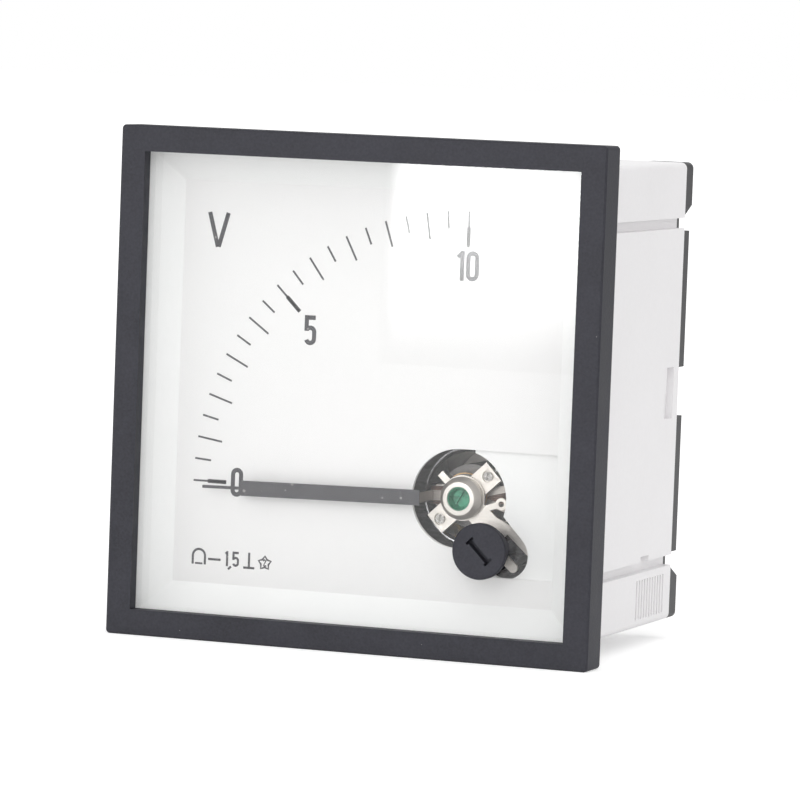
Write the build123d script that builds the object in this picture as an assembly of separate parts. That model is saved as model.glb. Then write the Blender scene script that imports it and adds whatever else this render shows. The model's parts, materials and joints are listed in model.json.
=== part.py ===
from build123d import *
import os
from math import atan2, cos, degrees, hypot, pi, radians, sin, sqrt

os.makedirs("parts", exist_ok=True)

# Analog panel meter, sizes in millimetres.
# X runs to the right, Z up, Y to the rear. Y = 0 is the panel plane, the bezel's rear face.

# Fits
FIT = 0.1                  # sides of pieces that drop into one another
RUN_FIT = 0.06             # radial play of turning pieces
AIR = 0.3                  # free air between moving and fixed pieces

# Bezel and pane
BEZEL_SIZE = 72.0          # front face, square
BEZEL_DEPTH = 5.4          # panel plane to front face
BEZEL_BAR = 3.66           # visible width of each bar
BEZEL_LIP = 2.0            # lip in front of the pane
BEZEL_CORNER = 0.6         # corner rounding
BEZEL_EDGE = 0.25          # front edge chamfer
PANE_THICK = 2.0
PANE_PLAY = 0.05           # pane to the case and the mask

# Case
PANEL_LAP = 2.9            # bezel past the case on each side
CASE_WALL = 1.9            # wall in front of the ledge
CASE_LEDGE = 1.2           # ledge that carries the movement carrier
CASE_REAR = 39.8           # panel plane to the rear edge
CASE_CORNER = 0.9          # long edge rounding
SNAP_LENGTH = 14.0         # beads that hold the bezel
SNAP_HEIGHT = 0.35
SNAP_WIDTH = 0.5
RAIL_INSET = 8.7           # clamp rail from the case edge
RAIL_HEIGHT = 1.5
RAIL_DEPTH = 1.2
RAIL_START = 4.0
NOTCH_REAR_GAP = 2.3       # blind notch in each side, from the rear edge
NOTCH_LENGTH = 3.2
NOTCH_HEIGHT = 7.4
NOTCH_DEPTH = 1.0
NOTCH_STEP = 0.7           # lower half of the notch is longer by this
TEETH_COUNT = 11           # ratchet teeth beside the rail
TEETH_PITCH = 1.2
TEETH_DEPTH = 0.5
TEETH_REAR_GAP = 2.6       # last tooth from the rear edge
TEETH_RAIL_GAP = 1.05      # teeth from the rail
TEETH_EDGE_GAP = 1.3       # teeth from the case edge
CATCH_REAR_GAP = 10.6      # small catch pocket beside the rail
CATCH_LENGTH = 3.7
CATCH_HEIGHT = 0.8
POST_SIDE = 6.0            # corner posts for the base screws
POST_LENGTH = 8.0

# Mask, dial and carrier
MASK_LAP = 2.75            # mask over the dial on each side
MASK_EDGE = 0.2            # flat rim at the front of the mask
MASK_FLANGE = 0.45         # depth of its flange over the case's edge
MOUTH_DEPTH = 1.5          # widened mouth of the case round the mask
MOUTH_WALL = 0.6           # case wall round the mouth
DIAL_SETBACK = 2.8         # pane to dial face
DIAL_THICK = 0.6
DIAL_EYE = 6.95            # dial opening round the pivot
CORRECTOR_EYE = 4.0        # dial opening round the zero corrector
CARRIER_THICK = 0.9
CARRIER_EYE = 6.8          # carrier opening round the pivot
CARRIER_EYE_LEFT = 7.6     # wider where the pointer comes through
CARRIER_STEP_X = 2.0       # where the opening changes width
CARRIER_SLOT_ANGLE = -47.0 # slot in the carrier for the lever's fork
CARRIER_SLOT_REACH = 10.25
CARRIER_SLOT_HALF = 3.3
CARRIER_POST_GAP = 0.2     # posts from the iron ring
CARRIER_POST_RADIUS = 2.0
CARRIER_POST_ANGLES = (-8.0, 112.0, 232.0)

# Pivot axis
PIVOT_RIGHT_GAP = 14.25    # from the right edge of the visible dial
PIVOT_LOWER_GAP = 14.45    # from the lower edge of the visible dial

# Movement
LEVER_DROP = 0.2           # carrier to lever
LEVER_THICK = 0.4
BRIDGE_THICK = 0.8
BRIDGE_WIDTH = 3.3
BRIDGE_REACH = 5.8         # half length of the strap
BRIDGE_ANGLE = 43.0
BRIDGE_SCREW_REACH = 4.7
BRIDGE_SCREW_RADIUS = 0.5
BRIDGE_HEAD_RADIUS = 0.65
BRIDGE_HEAD_HEIGHT = 0.35
BRIDGE_HEAD_PROUD = 0.1    # head past its seat
BRIDGE_SEAT_GAP = 0.2      # round the head
BRIDGE_SLOT_ANGLE = 82.0
BOSS_RADIUS = 2.2
BOSS_HEIGHT = 0.65
COLLAR_RADIUS = 3.0
COLLAR_HEIGHT = 1.7
COLLAR_BEVEL = 0.7
JEWEL_RADIUS = 1.3
JEWEL_HEAD_RADIUS = 1.62
JEWEL_RIM = 0.12           # jewel screw below the collar's rim
JEWEL_SINK = 1.2           # floor of its cup below the collar's rim
JEWEL_CUP_LIP = 0.1        # edge round the cup
JEWEL_CUP_FLOOR = 1.15
JEWEL_SLOT = 0.45
JEWEL_PROUD = 0.1          # jewel screw behind the strap
SPACER_RADIUS = 0.9
BRIDGE_SPACE = 2.3         # strap to core
CORE_RADIUS = 4.5
CORE_LENGTH = 9.0
COIL_PLAY = 0.35           # core to former
FORMER_THICK = 0.25
FORMER_WIDTH = 3.0
WINDING_THICK = 0.7
WINDING_WIDTH = 2.6
YOKE_RADIUS = 11.2
YOKE_WALL_PLAY = 0.3       # coil corner to yoke
YOKE_SETBACK = 1.8         # strap to yoke face
YOKE_LAND_RADIUS = 7.2     # raised land round the bore
YOKE_LAND_RISE = 0.3
YOKE_BEVEL = 0.4           # front edge of the bore
PLATE_THICK = 1.6
PLATE_EAR = 2.1
PLATE_HEAD_RADIUS = 1.6
PLATE_HEAD_HEIGHT = 0.9
PLATE_SCREW_RADIUS = 0.8
PLATE_SCREW_BITE = 5.0
CORE_SCREW_BITE = 2.0

# Pivots and hairsprings
COLLET_RADIUS = 0.7
COLLET_HEIGHT = 0.45
STAFF_RADIUS = 0.3
STAFF_LENGTH = 0.3
STAFF_TIP = 0.27
HUB_STUD_RADIUS = 0.45
SPRING_THICK = 0.12
SPRING_HEIGHT = 0.3
SPRING_REACH = 3.4
SPRING_HALF_TURNS = 8

# Pointer
POINTER_REST = 0.97        # degrees below the zero mark's level
POINTER_WIDTH = 2.1
POINTER_SHEET = 0.2
POINTER_FLANGE = 0.7       # depth of the folded sides
POINTER_LIFT = 1.1         # folded sides above the dial
POINTER_TIP_GAP = 4.75     # tip from the left edge of the visible dial
POINTER_TIP_LENGTH = 5.9
POINTER_TIP_WIDTH = 0.42
POINTER_CRANK = 5.2        # inner face of the cranked root
POINTER_ROOT_WIDTH = 1.4
POINTER_HUB_RADIUS = 1.6
POINTER_HUB_THICK = 0.3
TAIL_REACH = 8.4
TAIL_SPREAD = 14.0
TAIL_WIDTH = 1.0
WEIGHT_HEIGHT = 0.95
WEIGHT_DENSITY_RATIO = 8500.0 / 2700.0

# Zero corrector
KNOB_RIGHT = 5.06          # corrector axis from the pivot
KNOB_DROP = 6.6
KNOB_RADIUS = 3.92
KNOB_HEIGHT = 1.0
KNOB_EDGE = 0.15
KNOB_SHAFT_RADIUS = 2.4
KNOB_SLOT_LENGTH = 3.9
KNOB_SLOT_WIDTH = 0.75
KNOB_SLOT_DEPTH = 1.2
KNOB_SLOT_END = 1.35       # widened slot ends
KNOB_SLOT_ANGLE = -45.0
CRANK_RIM = 0.25           # disc past the pin
CRANK_THICK = 0.9
CRANK_THROW = 2.1
CRANK_REST = 5.4           # direction of the pin at rest, degrees from +X
CRANK_SWING = 67.0         # turn of the pin to each side of the fork's line
CRANK_PIN_RADIUS = 0.9
CRANK_PIN_PAST = 0.35      # pin past the lever
FORK_PLAY = 0.14
FORK_PRONG = 1.35
FORK_PAST = 2.2            # prongs past the pin's outer turn
LEVER_RING_RADIUS = 3.2
LEVER_NECK = 1.6
LEVER_EYE_REACH = 5.72
LEVER_EYE_RADIUS = 0.85
LEVER_EYE_HOLE = 0.4
LEVER_EYE_ANGLE = -5.0
LEVER_EYE_ROOT_ANGLE = -27.0
LEVER_STUB_ANGLE = 137.0
LEVER_STUB_REACH = 4.75
LEVER_STUB_WIDTH = 1.0
LEVER_TAB_THICK = 0.4

# Rear base and terminals
BASE_THICK = 2.3
BASE_SKIRT = 3.3
BASE_SKIRT_WALL = 2.0
BASE_EDGE_INSET = 1.6      # base plate inside the case edge, between strips and blocks
BASE_BLOCK_DEPTH = 3.1
BASE_BLOCK_WIDTH = 6.1
BASE_BLOCK_SLOPE = 1.4
BASE_STRIP_GAP = 0.4       # strips and blocks from the rail
BASE_MID_GAP = 7.1
BASE_SCREW_RADIUS = 1.2
BASE_HEAD_RADIUS = 2.3
BASE_HEAD_HEIGHT = 1.2
BASE_SCREW_BITE = 5.0
TERMINAL_INSET = 16.1      # terminals from the case edge
STUD_RADIUS = 2.0
STUD_OUT = 10.5            # stud past the base's seat
STUD_IN = 1.0              # stud past the inner nut
SEAT_RADIUS = 6.0
SEAT_RISE = 1.8
NUT_FLATS = 7.0
NUT_HEIGHT = 3.2
WASHER_RADIUS = 4.5
WASHER_THICK = 0.8
LUG_THICK = 0.8
LUG_RADIUS = 4.0
LUG_REACH = 8.4
LUG_END_RADIUS = 1.6
RESISTOR_RADIUS = 1.5
RESISTOR_LENGTH = 9.0
RESISTOR_FRONT = 24.0
RESISTOR_LEAD_RADIUS = 0.35
LEAD_REACH = 12.8
LEAD_RADIUS = 0.5
LEAD_BEND = 2.0
LEAD_TURN = 24.0
LEAD_PLATE_REACH = 10.2
LEAD_PLATE_ANGLE = 165.0

# Places worked out from the sizes above
pane_front = BEZEL_LIP - BEZEL_DEPTH
pane_rear = pane_front + PANE_THICK
rim_front = pane_rear + PANE_PLAY
case_front = rim_front + MASK_FLANGE
case_half = BEZEL_SIZE / 2 - PANEL_LAP
case_size = 2 * case_half
pocket_half = case_half + FIT
inner_half = case_half - CASE_WALL
ledge_half = inner_half - CASE_LEDGE
window_half = BEZEL_SIZE / 2 - BEZEL_BAR
mask_half = inner_half - MASK_LAP
pivot_x = mask_half - PIVOT_RIGHT_GAP
pivot_z = PIVOT_LOWER_GAP - mask_half
knob_x = pivot_x + KNOB_RIGHT
knob_z = pivot_z - KNOB_DROP
pointer_tip_end = pivot_x + mask_half - POINTER_TIP_GAP
pointer_bar_end = pointer_tip_end - POINTER_TIP_LENGTH
rail_z = case_half - RAIL_INSET
rail_top = rail_z + RAIL_HEIGHT / 2
rail_low = rail_z - RAIL_HEIGHT / 2
terminal_x = case_half - TERMINAL_INSET
post_reach = YOKE_RADIUS + CARRIER_POST_RADIUS + CARRIER_POST_GAP
screw_reach = ledge_half - POST_SIDE / 2
dial_face = pane_rear + DIAL_SETBACK
dial_rear = dial_face + DIAL_THICK
carrier_rear = dial_rear + CARRIER_THICK
lever_front = carrier_rear + LEVER_DROP
lever_rear = lever_front + LEVER_THICK
strap_front = lever_rear + FIT
strap_rear = strap_front + BRIDGE_THICK
boss_front = strap_front - BOSS_HEIGHT
collar_front = boss_front - COLLAR_HEIGHT
core_front = strap_rear + BRIDGE_SPACE
core_rear = core_front + CORE_LENGTH
former_front = core_front - COIL_PLAY
coil_front = former_front - FORMER_THICK - WINDING_THICK
coil_rear = core_rear + COIL_PLAY + FORMER_THICK + WINDING_THICK
hub_front = coil_front - POINTER_HUB_THICK
plate_front = core_rear + BRIDGE_SPACE
plate_rear = plate_front + PLATE_THICK
yoke_front = strap_rear + YOKE_SETBACK
former_half = CORE_RADIUS + COIL_PLAY
coil_half = former_half + FORMER_THICK + WINDING_THICK
yoke_bore = hypot(coil_half, FORMER_WIDTH / 2) + YOKE_WALL_PLAY
base_rear = CASE_REAR + BASE_THICK
seat_rear = base_rear + SEAT_RISE
pin_x = knob_x + CRANK_THROW * cos(radians(CRANK_REST))
pin_z = knob_z + CRANK_THROW * sin(radians(CRANK_REST))
pin_reach = hypot(pin_x - pivot_x, pin_z - pivot_z)
fork_angle = degrees(atan2(pin_z - pivot_z, pin_x - pivot_x))
knob_reach = hypot(knob_x - pivot_x, knob_z - pivot_z)
bridge_screws = (BRIDGE_ANGLE, BRIDGE_ANGLE + 180)


def front_plane(y):
    """Plane at depth y, seen from the front."""
    return Plane(origin=(0, y, 0), x_dir=(1, 0, 0), z_dir=(0, -1, 0))


def slab(sketch, y_front, y_back):
    """Front-view sketch given depth from y_front to y_back."""
    return extrude(front_plane(y_back) * sketch, amount=y_back - y_front)


def rod(x, z, radius, y_front, y_back):
    """Round bar along Y."""
    return slab(Pos(x, z) * Circle(radius), y_front, y_back)


def block(x0, x1, y0, y1, z0, z1):
    """Box between two corners."""
    place = Pos((x0 + x1) / 2, (y0 + y1) / 2, (z0 + z1) / 2)
    return place * Box(x1 - x0, y1 - y0, z1 - z0)


def cone(x, z, y_base, y_tip, base_radius, tip_radius):
    """Cone along Y from y_base to y_tip."""
    turn = Rot(90, 0, 0) if y_tip < y_base else Rot(-90, 0, 0)
    middle = Pos(x, (y_base + y_tip) / 2, z)
    return middle * turn * Cone(base_radius, tip_radius, abs(y_tip - y_base))


def at_pivot(sketch):
    """Sketch moved to the pivot axis."""
    return Pos(pivot_x, pivot_z) * sketch


def around(reach, angle):
    """Front-view point at a reach and angle from the pivot axis."""
    return (pivot_x + reach * cos(radians(angle)), pivot_z + reach * sin(radians(angle)))


def square(half):
    """Square sketch of a given half side."""
    return Rectangle(2 * half, 2 * half)


def other_side(shape):
    """Shape turned half round about the object's depth axis."""
    return shape.rotate(Axis.Y, 180)


def as_posed(shape):
    """Moving piece drawn at the zero level, turned to its rest."""
    return shape.rotate(Axis((pivot_x, 0, pivot_z), (0, 1, 0)), -POINTER_REST)


def spiral(turn_angle):
    """Hairspring as half rings, its outer end at turn_angle."""
    start = COLLET_RADIUS + RUN_FIT
    pitch = (SPRING_REACH - start) / (SPRING_HALF_TURNS / 2)
    far = 4 * SPRING_REACH
    band = Sketch()
    for index in range(SPRING_HALF_TURNS):
        radius = start + index * pitch / 2
        upper = index % 2 == 0
        shift = 0 if upper else pitch / 2
        ring = Pos(shift, 0) * (Circle(radius + SPRING_THICK) - Circle(radius))
        half = Pos(0, far / 2 if upper else -far / 2) * Rectangle(far, far)
        band += ring & half
    return at_pivot(Rot(0, 0, turn_angle) * band)


# Bezel with its pane
bezel = slab(RectangleRounded(BEZEL_SIZE, BEZEL_SIZE, BEZEL_CORNER), -BEZEL_DEPTH, 0)
bezel = chamfer(bezel.faces().sort_by(Axis.Y)[0].outer_wire().edges(), BEZEL_EDGE)
bezel -= slab(square(window_half), -BEZEL_DEPTH - 1, 1)
bezel -= slab(square(pocket_half), pane_front, 1)
snap_front = case_front
snap_out = case_half + SNAP_HEIGHT
for long_x, long_z in ((SNAP_LENGTH, 2 * snap_out), (2 * snap_out, SNAP_LENGTH)):
    groove = Rectangle(long_x + 2 * FIT, long_z + 2 * FIT)
    bezel -= slab(groove, snap_front - FIT, snap_front + SNAP_WIDTH + FIT)

window_pane = slab(square(pocket_half - FIT), pane_front, pane_rear)
window_pane -= rod(knob_x, knob_z, KNOB_SHAFT_RADIUS + RUN_FIT, pane_front - 1, pane_rear + 1)

# Case: sleeve, ledge, rails, ratchet teeth, notches and posts
case = slab(RectangleRounded(case_size, case_size, CASE_CORNER), case_front, CASE_REAR)
for long_x, long_z in ((SNAP_LENGTH, 2 * snap_out), (2 * snap_out, SNAP_LENGTH)):
    case += slab(Rectangle(long_x, long_z), snap_front, snap_front + SNAP_WIDTH)
case -= slab(square(inner_half), pane_rear - 1, carrier_rear)
mouth_half = case_half - MOUTH_WALL
mouth_rear = rim_front + MOUTH_DEPTH
case -= slab(square(mouth_half), pane_rear - 1, mouth_rear)
case -= slab(square(ledge_half), carrier_rear - 1, CASE_REAR + 1)
rail_in = case_half - RAIL_DEPTH
out = case_half + 1
side_cut = block(rail_in, out, RAIL_START, CASE_REAR + 1, rail_low, rail_top)
side_cut += block(rail_in, out, RAIL_START, CASE_REAR + 1, -rail_top, -rail_low)
notch_in = case_half - NOTCH_DEPTH
notch_half = NOTCH_HEIGHT / 2
notch_rear = CASE_REAR - NOTCH_REAR_GAP
notch_front = notch_rear - NOTCH_LENGTH
side_cut += block(notch_in, out, notch_front, notch_rear, 0, notch_half)
side_cut += block(notch_in, out, notch_front - NOTCH_STEP, notch_rear, -notch_half, 0)
catch_end = CASE_REAR - CATCH_REAR_GAP
catch_start = catch_end - CATCH_LENGTH
side_cut += block(rail_in, out, catch_start, catch_end, -rail_low, -rail_low + CATCH_HEIGHT)
teeth_in = rail_top + TEETH_RAIL_GAP
teeth_out = case_half - TEETH_EDGE_GAP
teeth_start = CASE_REAR - TEETH_REAR_GAP - TEETH_COUNT * TEETH_PITCH
for index in range(TEETH_COUNT):
    y = teeth_start + index * TEETH_PITCH
    side_cut += block(case_half - TEETH_DEPTH, out, y, y + TEETH_PITCH / 2, -teeth_out, -teeth_in)
case -= side_cut
case -= other_side(side_cut)
skirt_front = CASE_REAR - BASE_SKIRT
post_rear = skirt_front - FIT
for sign_x in (-1, 1):
    for sign_z in (-1, 1):
        middle = ledge_half - POST_SIDE / 2 + FIT
        side = POST_SIDE + 2 * FIT
        post = Pos(sign_x * middle, sign_z * middle) * Rectangle(side, side)
        case += slab(post, post_rear - POST_LENGTH, post_rear)
        case -= rod(sign_x * screw_reach, sign_z * screw_reach, BASE_SCREW_RADIUS,
                    post_rear - POST_LENGTH, post_rear)

# Mask, dial and carrier
mask_front_half = case_half - MASK_EDGE
mask_depth = dial_face - rim_front
mask_slope = degrees(atan2(mask_front_half - mask_half, mask_depth))
flange_rear = case_front - PANE_PLAY
body_rear = mouth_rear - PANE_PLAY
dial_mask = slab(square(case_half), rim_front, flange_rear)
dial_mask += slab(square(mouth_half - FIT), flange_rear, body_rear)
dial_mask += slab(square(inner_half - FIT), body_rear, dial_face)
funnel = extrude(front_plane(dial_face) * square(mask_half), amount=mask_depth, taper=-mask_slope)
dial_mask -= funnel

far = 2 * inner_half
lower_edge = knob_z - CORRECTOR_EYE
eye_top = pivot_z + DIAL_EYE
dial_slot = at_pivot(Circle(DIAL_EYE))
dial_slot += Pos(knob_x, knob_z) * Circle(CORRECTOR_EYE)
dial_slot += Pos(pivot_x + far / 2, (pivot_z + eye_top) / 2) * Rectangle(far, eye_top - pivot_z)
dial_slot += Pos(knob_x + far / 2, (lower_edge + pivot_z) / 2) * Rectangle(far, pivot_z - lower_edge)
dial_plate = slab(square(inner_half - FIT), dial_face, dial_rear)
dial_plate -= slab(dial_slot, dial_face - 1, dial_rear + 1)

carrier_hole = at_pivot(Circle(CARRIER_EYE))
carrier_hole += Pos(knob_x, knob_z) * Circle(CRANK_THROW + CRANK_PIN_RADIUS + AIR)
fork_slot = Pos(CARRIER_SLOT_REACH / 2, 0) * Rectangle(CARRIER_SLOT_REACH, 2 * CARRIER_SLOT_HALF)
fork_slot += Pos(CARRIER_SLOT_REACH, 0) * Circle(CARRIER_SLOT_HALF)
carrier_hole += at_pivot(Rot(0, 0, CARRIER_SLOT_ANGLE) * fork_slot)
left_part = Pos(pivot_x + CARRIER_STEP_X - far / 2, pivot_z) * Rectangle(far, far)
carrier_hole += at_pivot(Circle(CARRIER_EYE_LEFT)) & left_part
movement_carrier = slab(square(inner_half - FIT), dial_rear, carrier_rear)
movement_carrier -= slab(carrier_hole, dial_rear - 1, carrier_rear + 1)
movement_screws = []
ears = Sketch()
ear_holes = Sketch()
for angle in CARRIER_POST_ANGLES:
    x, z = around(post_reach, angle)
    movement_carrier += rod(x, z, CARRIER_POST_RADIUS, carrier_rear, plate_front)
    bite = plate_front - PLATE_SCREW_BITE
    movement_carrier -= rod(x, z, PLATE_SCREW_RADIUS, bite, plate_front)
    head = rod(x, z, PLATE_HEAD_RADIUS, plate_rear, plate_rear + PLATE_HEAD_HEIGHT)
    cut = Pos(x, z) * Rectangle(3 * PLATE_HEAD_RADIUS, PLATE_SCREW_RADIUS / 2)
    head -= slab(cut, plate_rear + PLATE_HEAD_HEIGHT / 2, plate_rear + 2 * PLATE_HEAD_HEIGHT)
    movement_screws.append(head + rod(x, z, PLATE_SCREW_RADIUS, bite, plate_rear))
    ears += Pos(x, z) * Circle(PLATE_EAR)
    arm = Pos(post_reach / 2, 0) * Rectangle(post_reach, 2 * PLATE_EAR)
    ears += at_pivot(Rot(0, 0, angle) * arm)
    ear_holes += Pos(x, z) * Circle(PLATE_SCREW_RADIUS)

# Iron ring, core, plate, strap, spacers and their screws
yoke_ring = slab(at_pivot(Circle(YOKE_RADIUS) - Circle(yoke_bore)), yoke_front + YOKE_LAND_RISE, plate_front)
yoke_ring += slab(at_pivot(Circle(YOKE_LAND_RADIUS) - Circle(yoke_bore)), yoke_front, yoke_front + YOKE_LAND_RISE)
yoke_ring -= cone(pivot_x, pivot_z, yoke_front, yoke_front + YOKE_BEVEL, yoke_bore + YOKE_BEVEL, yoke_bore)
core_magnet = rod(pivot_x, pivot_z, CORE_RADIUS, core_front, core_rear)
movement_plate = slab(at_pivot(Circle(YOKE_RADIUS)) + ears - ear_holes, plate_front, plate_rear)
movement_plate -= rod(pivot_x, pivot_z, JEWEL_RADIUS, plate_front - 1, plate_rear + 1)
strap = at_pivot(Rot(0, 0, BRIDGE_ANGLE) * Rectangle(2 * BRIDGE_REACH, BRIDGE_WIDTH))
front_bridge = slab(strap, strap_front, strap_rear)
front_bridge += rod(pivot_x, pivot_z, BOSS_RADIUS, boss_front, strap_front)
front_bridge -= rod(pivot_x, pivot_z, JEWEL_RADIUS, boss_front - 1, strap_rear + 1)
front_spacers = []
rear_spacers = []
front_bridge_screws = []
rear_bridge_screws = []
for angle in bridge_screws:
    x, z = around(BRIDGE_SCREW_REACH, angle)
    hole = Pos(x, z) * Circle(BRIDGE_SCREW_RADIUS)
    tube = Pos(x, z) * Circle(SPACER_RADIUS) - hole
    front_spacers.append(slab(tube, strap_rear, core_front))
    rear_spacers.append(slab(tube, core_rear, plate_front))
    front_bridge -= slab(hole, strap_front - 1, strap_rear + 1)
    movement_plate -= slab(hole, plate_front - 1, plate_rear + 1)
    cut = Rot(0, 0, BRIDGE_SLOT_ANGLE) * Rectangle(3 * BRIDGE_HEAD_RADIUS, BRIDGE_SCREW_RADIUS / 2)
    cut = Pos(x, z) * cut
    seat = strap_front + BRIDGE_HEAD_HEIGHT
    front_bridge -= rod(x, z, BRIDGE_HEAD_RADIUS + BRIDGE_SEAT_GAP, strap_front - 1, seat)
    front_end = core_front + CORE_SCREW_BITE
    rear_end = core_rear - CORE_SCREW_BITE
    core_magnet -= slab(hole, core_front - 1, front_end)
    core_magnet -= slab(hole, rear_end, core_rear + 1)
    head_front = strap_front - BRIDGE_HEAD_PROUD
    head = rod(x, z, BRIDGE_HEAD_RADIUS, head_front, seat)
    head -= slab(cut, head_front - 1, (head_front + seat) / 2)
    front_bridge_screws.append(head + slab(hole, seat, front_end))
    head = rod(x, z, BRIDGE_HEAD_RADIUS, plate_rear, plate_rear + BRIDGE_HEAD_HEIGHT)
    head -= slab(cut, plate_rear + BRIDGE_HEAD_HEIGHT / 2, plate_rear + 2 * BRIDGE_HEAD_HEIGHT)
    rear_bridge_screws.append(head + slab(hole, rear_end, plate_rear))

# Collar and jewel screws
collar_base = boss_front - COLLAR_BEVEL
lever_collar = rod(pivot_x, pivot_z, COLLAR_RADIUS, collar_base, boss_front)
lever_collar += cone(pivot_x, pivot_z, collar_base, collar_front, COLLAR_RADIUS, COLLAR_RADIUS - COLLAR_BEVEL)
lever_collar -= rod(pivot_x, pivot_z, JEWEL_HEAD_RADIUS + FIT / 2, collar_front - 1, boss_front + 1)
jewel_face = collar_front + JEWEL_RIM
jewel_floor = collar_front + JEWEL_SINK
jewel_end = strap_rear + JEWEL_PROUD
driver_cut = at_pivot(Rot(0, 0, 60) * Rectangle(4 * JEWEL_HEAD_RADIUS, JEWEL_SLOT))
cup_radius = STAFF_RADIUS + AIR / 2
cup_depth = STAFF_LENGTH + STAFF_TIP
front_jewel_screw = rod(pivot_x, pivot_z, JEWEL_HEAD_RADIUS, jewel_face, boss_front)
front_jewel_screw += rod(pivot_x, pivot_z, JEWEL_RADIUS, boss_front, jewel_end)
front_jewel_screw -= cone(pivot_x, pivot_z, jewel_face, jewel_floor, JEWEL_HEAD_RADIUS - JEWEL_CUP_LIP, JEWEL_CUP_FLOOR)
cup_cut = at_pivot(Rot(0, 0, 60) * Rectangle(2 * JEWEL_CUP_FLOOR, JEWEL_SLOT) & Circle(JEWEL_CUP_FLOOR))
front_jewel_screw -= slab(cup_cut, jewel_floor - FIT, jewel_floor + JEWEL_SLOT)
front_jewel_screw -= cone(pivot_x, pivot_z, jewel_end, jewel_end - cup_depth, cup_radius, AIR / 3)
middle_y = (coil_front + coil_rear) / 2
jewel_start = plate_front - JEWEL_PROUD
jewel_back = plate_rear + BOSS_HEIGHT
rear_jewel_screw = rod(pivot_x, pivot_z, JEWEL_RADIUS, jewel_start, jewel_back)
rear_jewel_screw -= slab(driver_cut, jewel_back - JEWEL_SLOT, jewel_back + 1)
rear_jewel_screw -= cone(pivot_x, pivot_z, jewel_start, jewel_start + cup_depth, cup_radius, AIR / 3)

# Pivots
collet_front = hub_front - COLLET_HEIGHT
staff_front = collet_front - STAFF_LENGTH
front_pivot = rod(pivot_x, pivot_z, COLLET_RADIUS, collet_front, hub_front)
front_pivot += rod(pivot_x, pivot_z, HUB_STUD_RADIUS, hub_front, coil_front)
front_pivot += rod(pivot_x, pivot_z, STAFF_RADIUS, staff_front, collet_front)
front_pivot += cone(pivot_x, pivot_z, staff_front, staff_front - STAFF_TIP, STAFF_RADIUS, AIR / 6)
rear_pivot = front_pivot.mirror(Plane(origin=(0, middle_y, 0), z_dir=(0, 1, 0)))

# Hairsprings, the front one held by the lever and the rear one by a post on the plate
spring_front = collet_front + (COLLET_HEIGHT - SPRING_HEIGHT) / 2
spring_rear = spring_front + SPRING_HEIGHT
front_hairspring = slab(spiral(LEVER_STUB_ANGLE), spring_front, spring_rear)
rear_spring_front = 2 * middle_y - spring_rear
rear_spring_rear = 2 * middle_y - spring_front
rear_hairspring = slab(spiral(-BRIDGE_ANGLE), rear_spring_front, rear_spring_rear)
anchor_radius = LEVER_TAB_THICK
anchor_x, anchor_z = around(SPRING_REACH + SPRING_THICK + anchor_radius + FIT / 5, -BRIDGE_ANGLE)
movement_plate += rod(anchor_x, anchor_z, anchor_radius, rear_spring_front, plate_front)

# Zero lever: ring, fork, eyelet, stub and the tab that holds the front hairspring
slot_half = CRANK_PIN_RADIUS + FORK_PLAY
fork_half = slot_half + FORK_PRONG
slot_start = knob_reach + CRANK_THROW * cos(radians(CRANK_SWING)) - slot_half
neck_end = slot_start - 2 * FORK_PRONG
fork_end = knob_reach + CRANK_THROW + FORK_PAST
arm = make_face(Polyline(
    (LEVER_RING_RADIUS / 2, -LEVER_NECK), (neck_end, -LEVER_NECK), (slot_start, -fork_half),
    (fork_end, -fork_half), (fork_end, fork_half),
    (slot_start, fork_half), (neck_end, LEVER_NECK), (LEVER_RING_RADIUS / 2, LEVER_NECK), close=True))
arm -= Pos((slot_start + fork_end + 2) / 2, 0) * Rectangle(fork_end + 2 - slot_start, 2 * slot_half)
arm = fillet(arm.vertices().sort_by(Axis.X)[-4:], FORK_PRONG / 2.2)
outline = Circle(LEVER_RING_RADIUS) + Rot(0, 0, fork_angle) * arm
eye_x = LEVER_EYE_REACH * cos(radians(LEVER_EYE_ANGLE))
eye_z = LEVER_EYE_REACH * sin(radians(LEVER_EYE_ANGLE))
root_x = LEVER_RING_RADIUS * cos(radians(LEVER_EYE_ROOT_ANGLE))
root_z = LEVER_RING_RADIUS * sin(radians(LEVER_EYE_ROOT_ANGLE))
eye_turn = degrees(atan2(eye_z - root_z, eye_x - root_x))
eye_arm = Rectangle(hypot(eye_x - root_x, eye_z - root_z), LEVER_EYE_RADIUS)
outline += Pos((eye_x + root_x) / 2, (eye_z + root_z) / 2) * Rot(0, 0, eye_turn) * eye_arm
outline += Pos(eye_x, eye_z) * Circle(LEVER_EYE_RADIUS)
stub = Pos(LEVER_STUB_REACH / 2, 0) * Rectangle(LEVER_STUB_REACH, LEVER_STUB_WIDTH)
outline += Rot(0, 0, LEVER_STUB_ANGLE) * stub
outline -= Pos(eye_x, eye_z) * Circle(LEVER_EYE_HOLE)
outline -= Circle(BOSS_RADIUS + RUN_FIT)
zero_lever = slab(at_pivot(outline), lever_front, lever_rear)
tab_reach = SPRING_REACH + SPRING_THICK + LEVER_TAB_THICK / 2 + FIT / 5
tab = Rot(0, 0, LEVER_STUB_ANGLE) * Pos(tab_reach, 0) * Rectangle(LEVER_TAB_THICK, LEVER_STUB_WIDTH)
zero_lever += slab(at_pivot(tab), lever_front, spring_rear)

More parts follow.
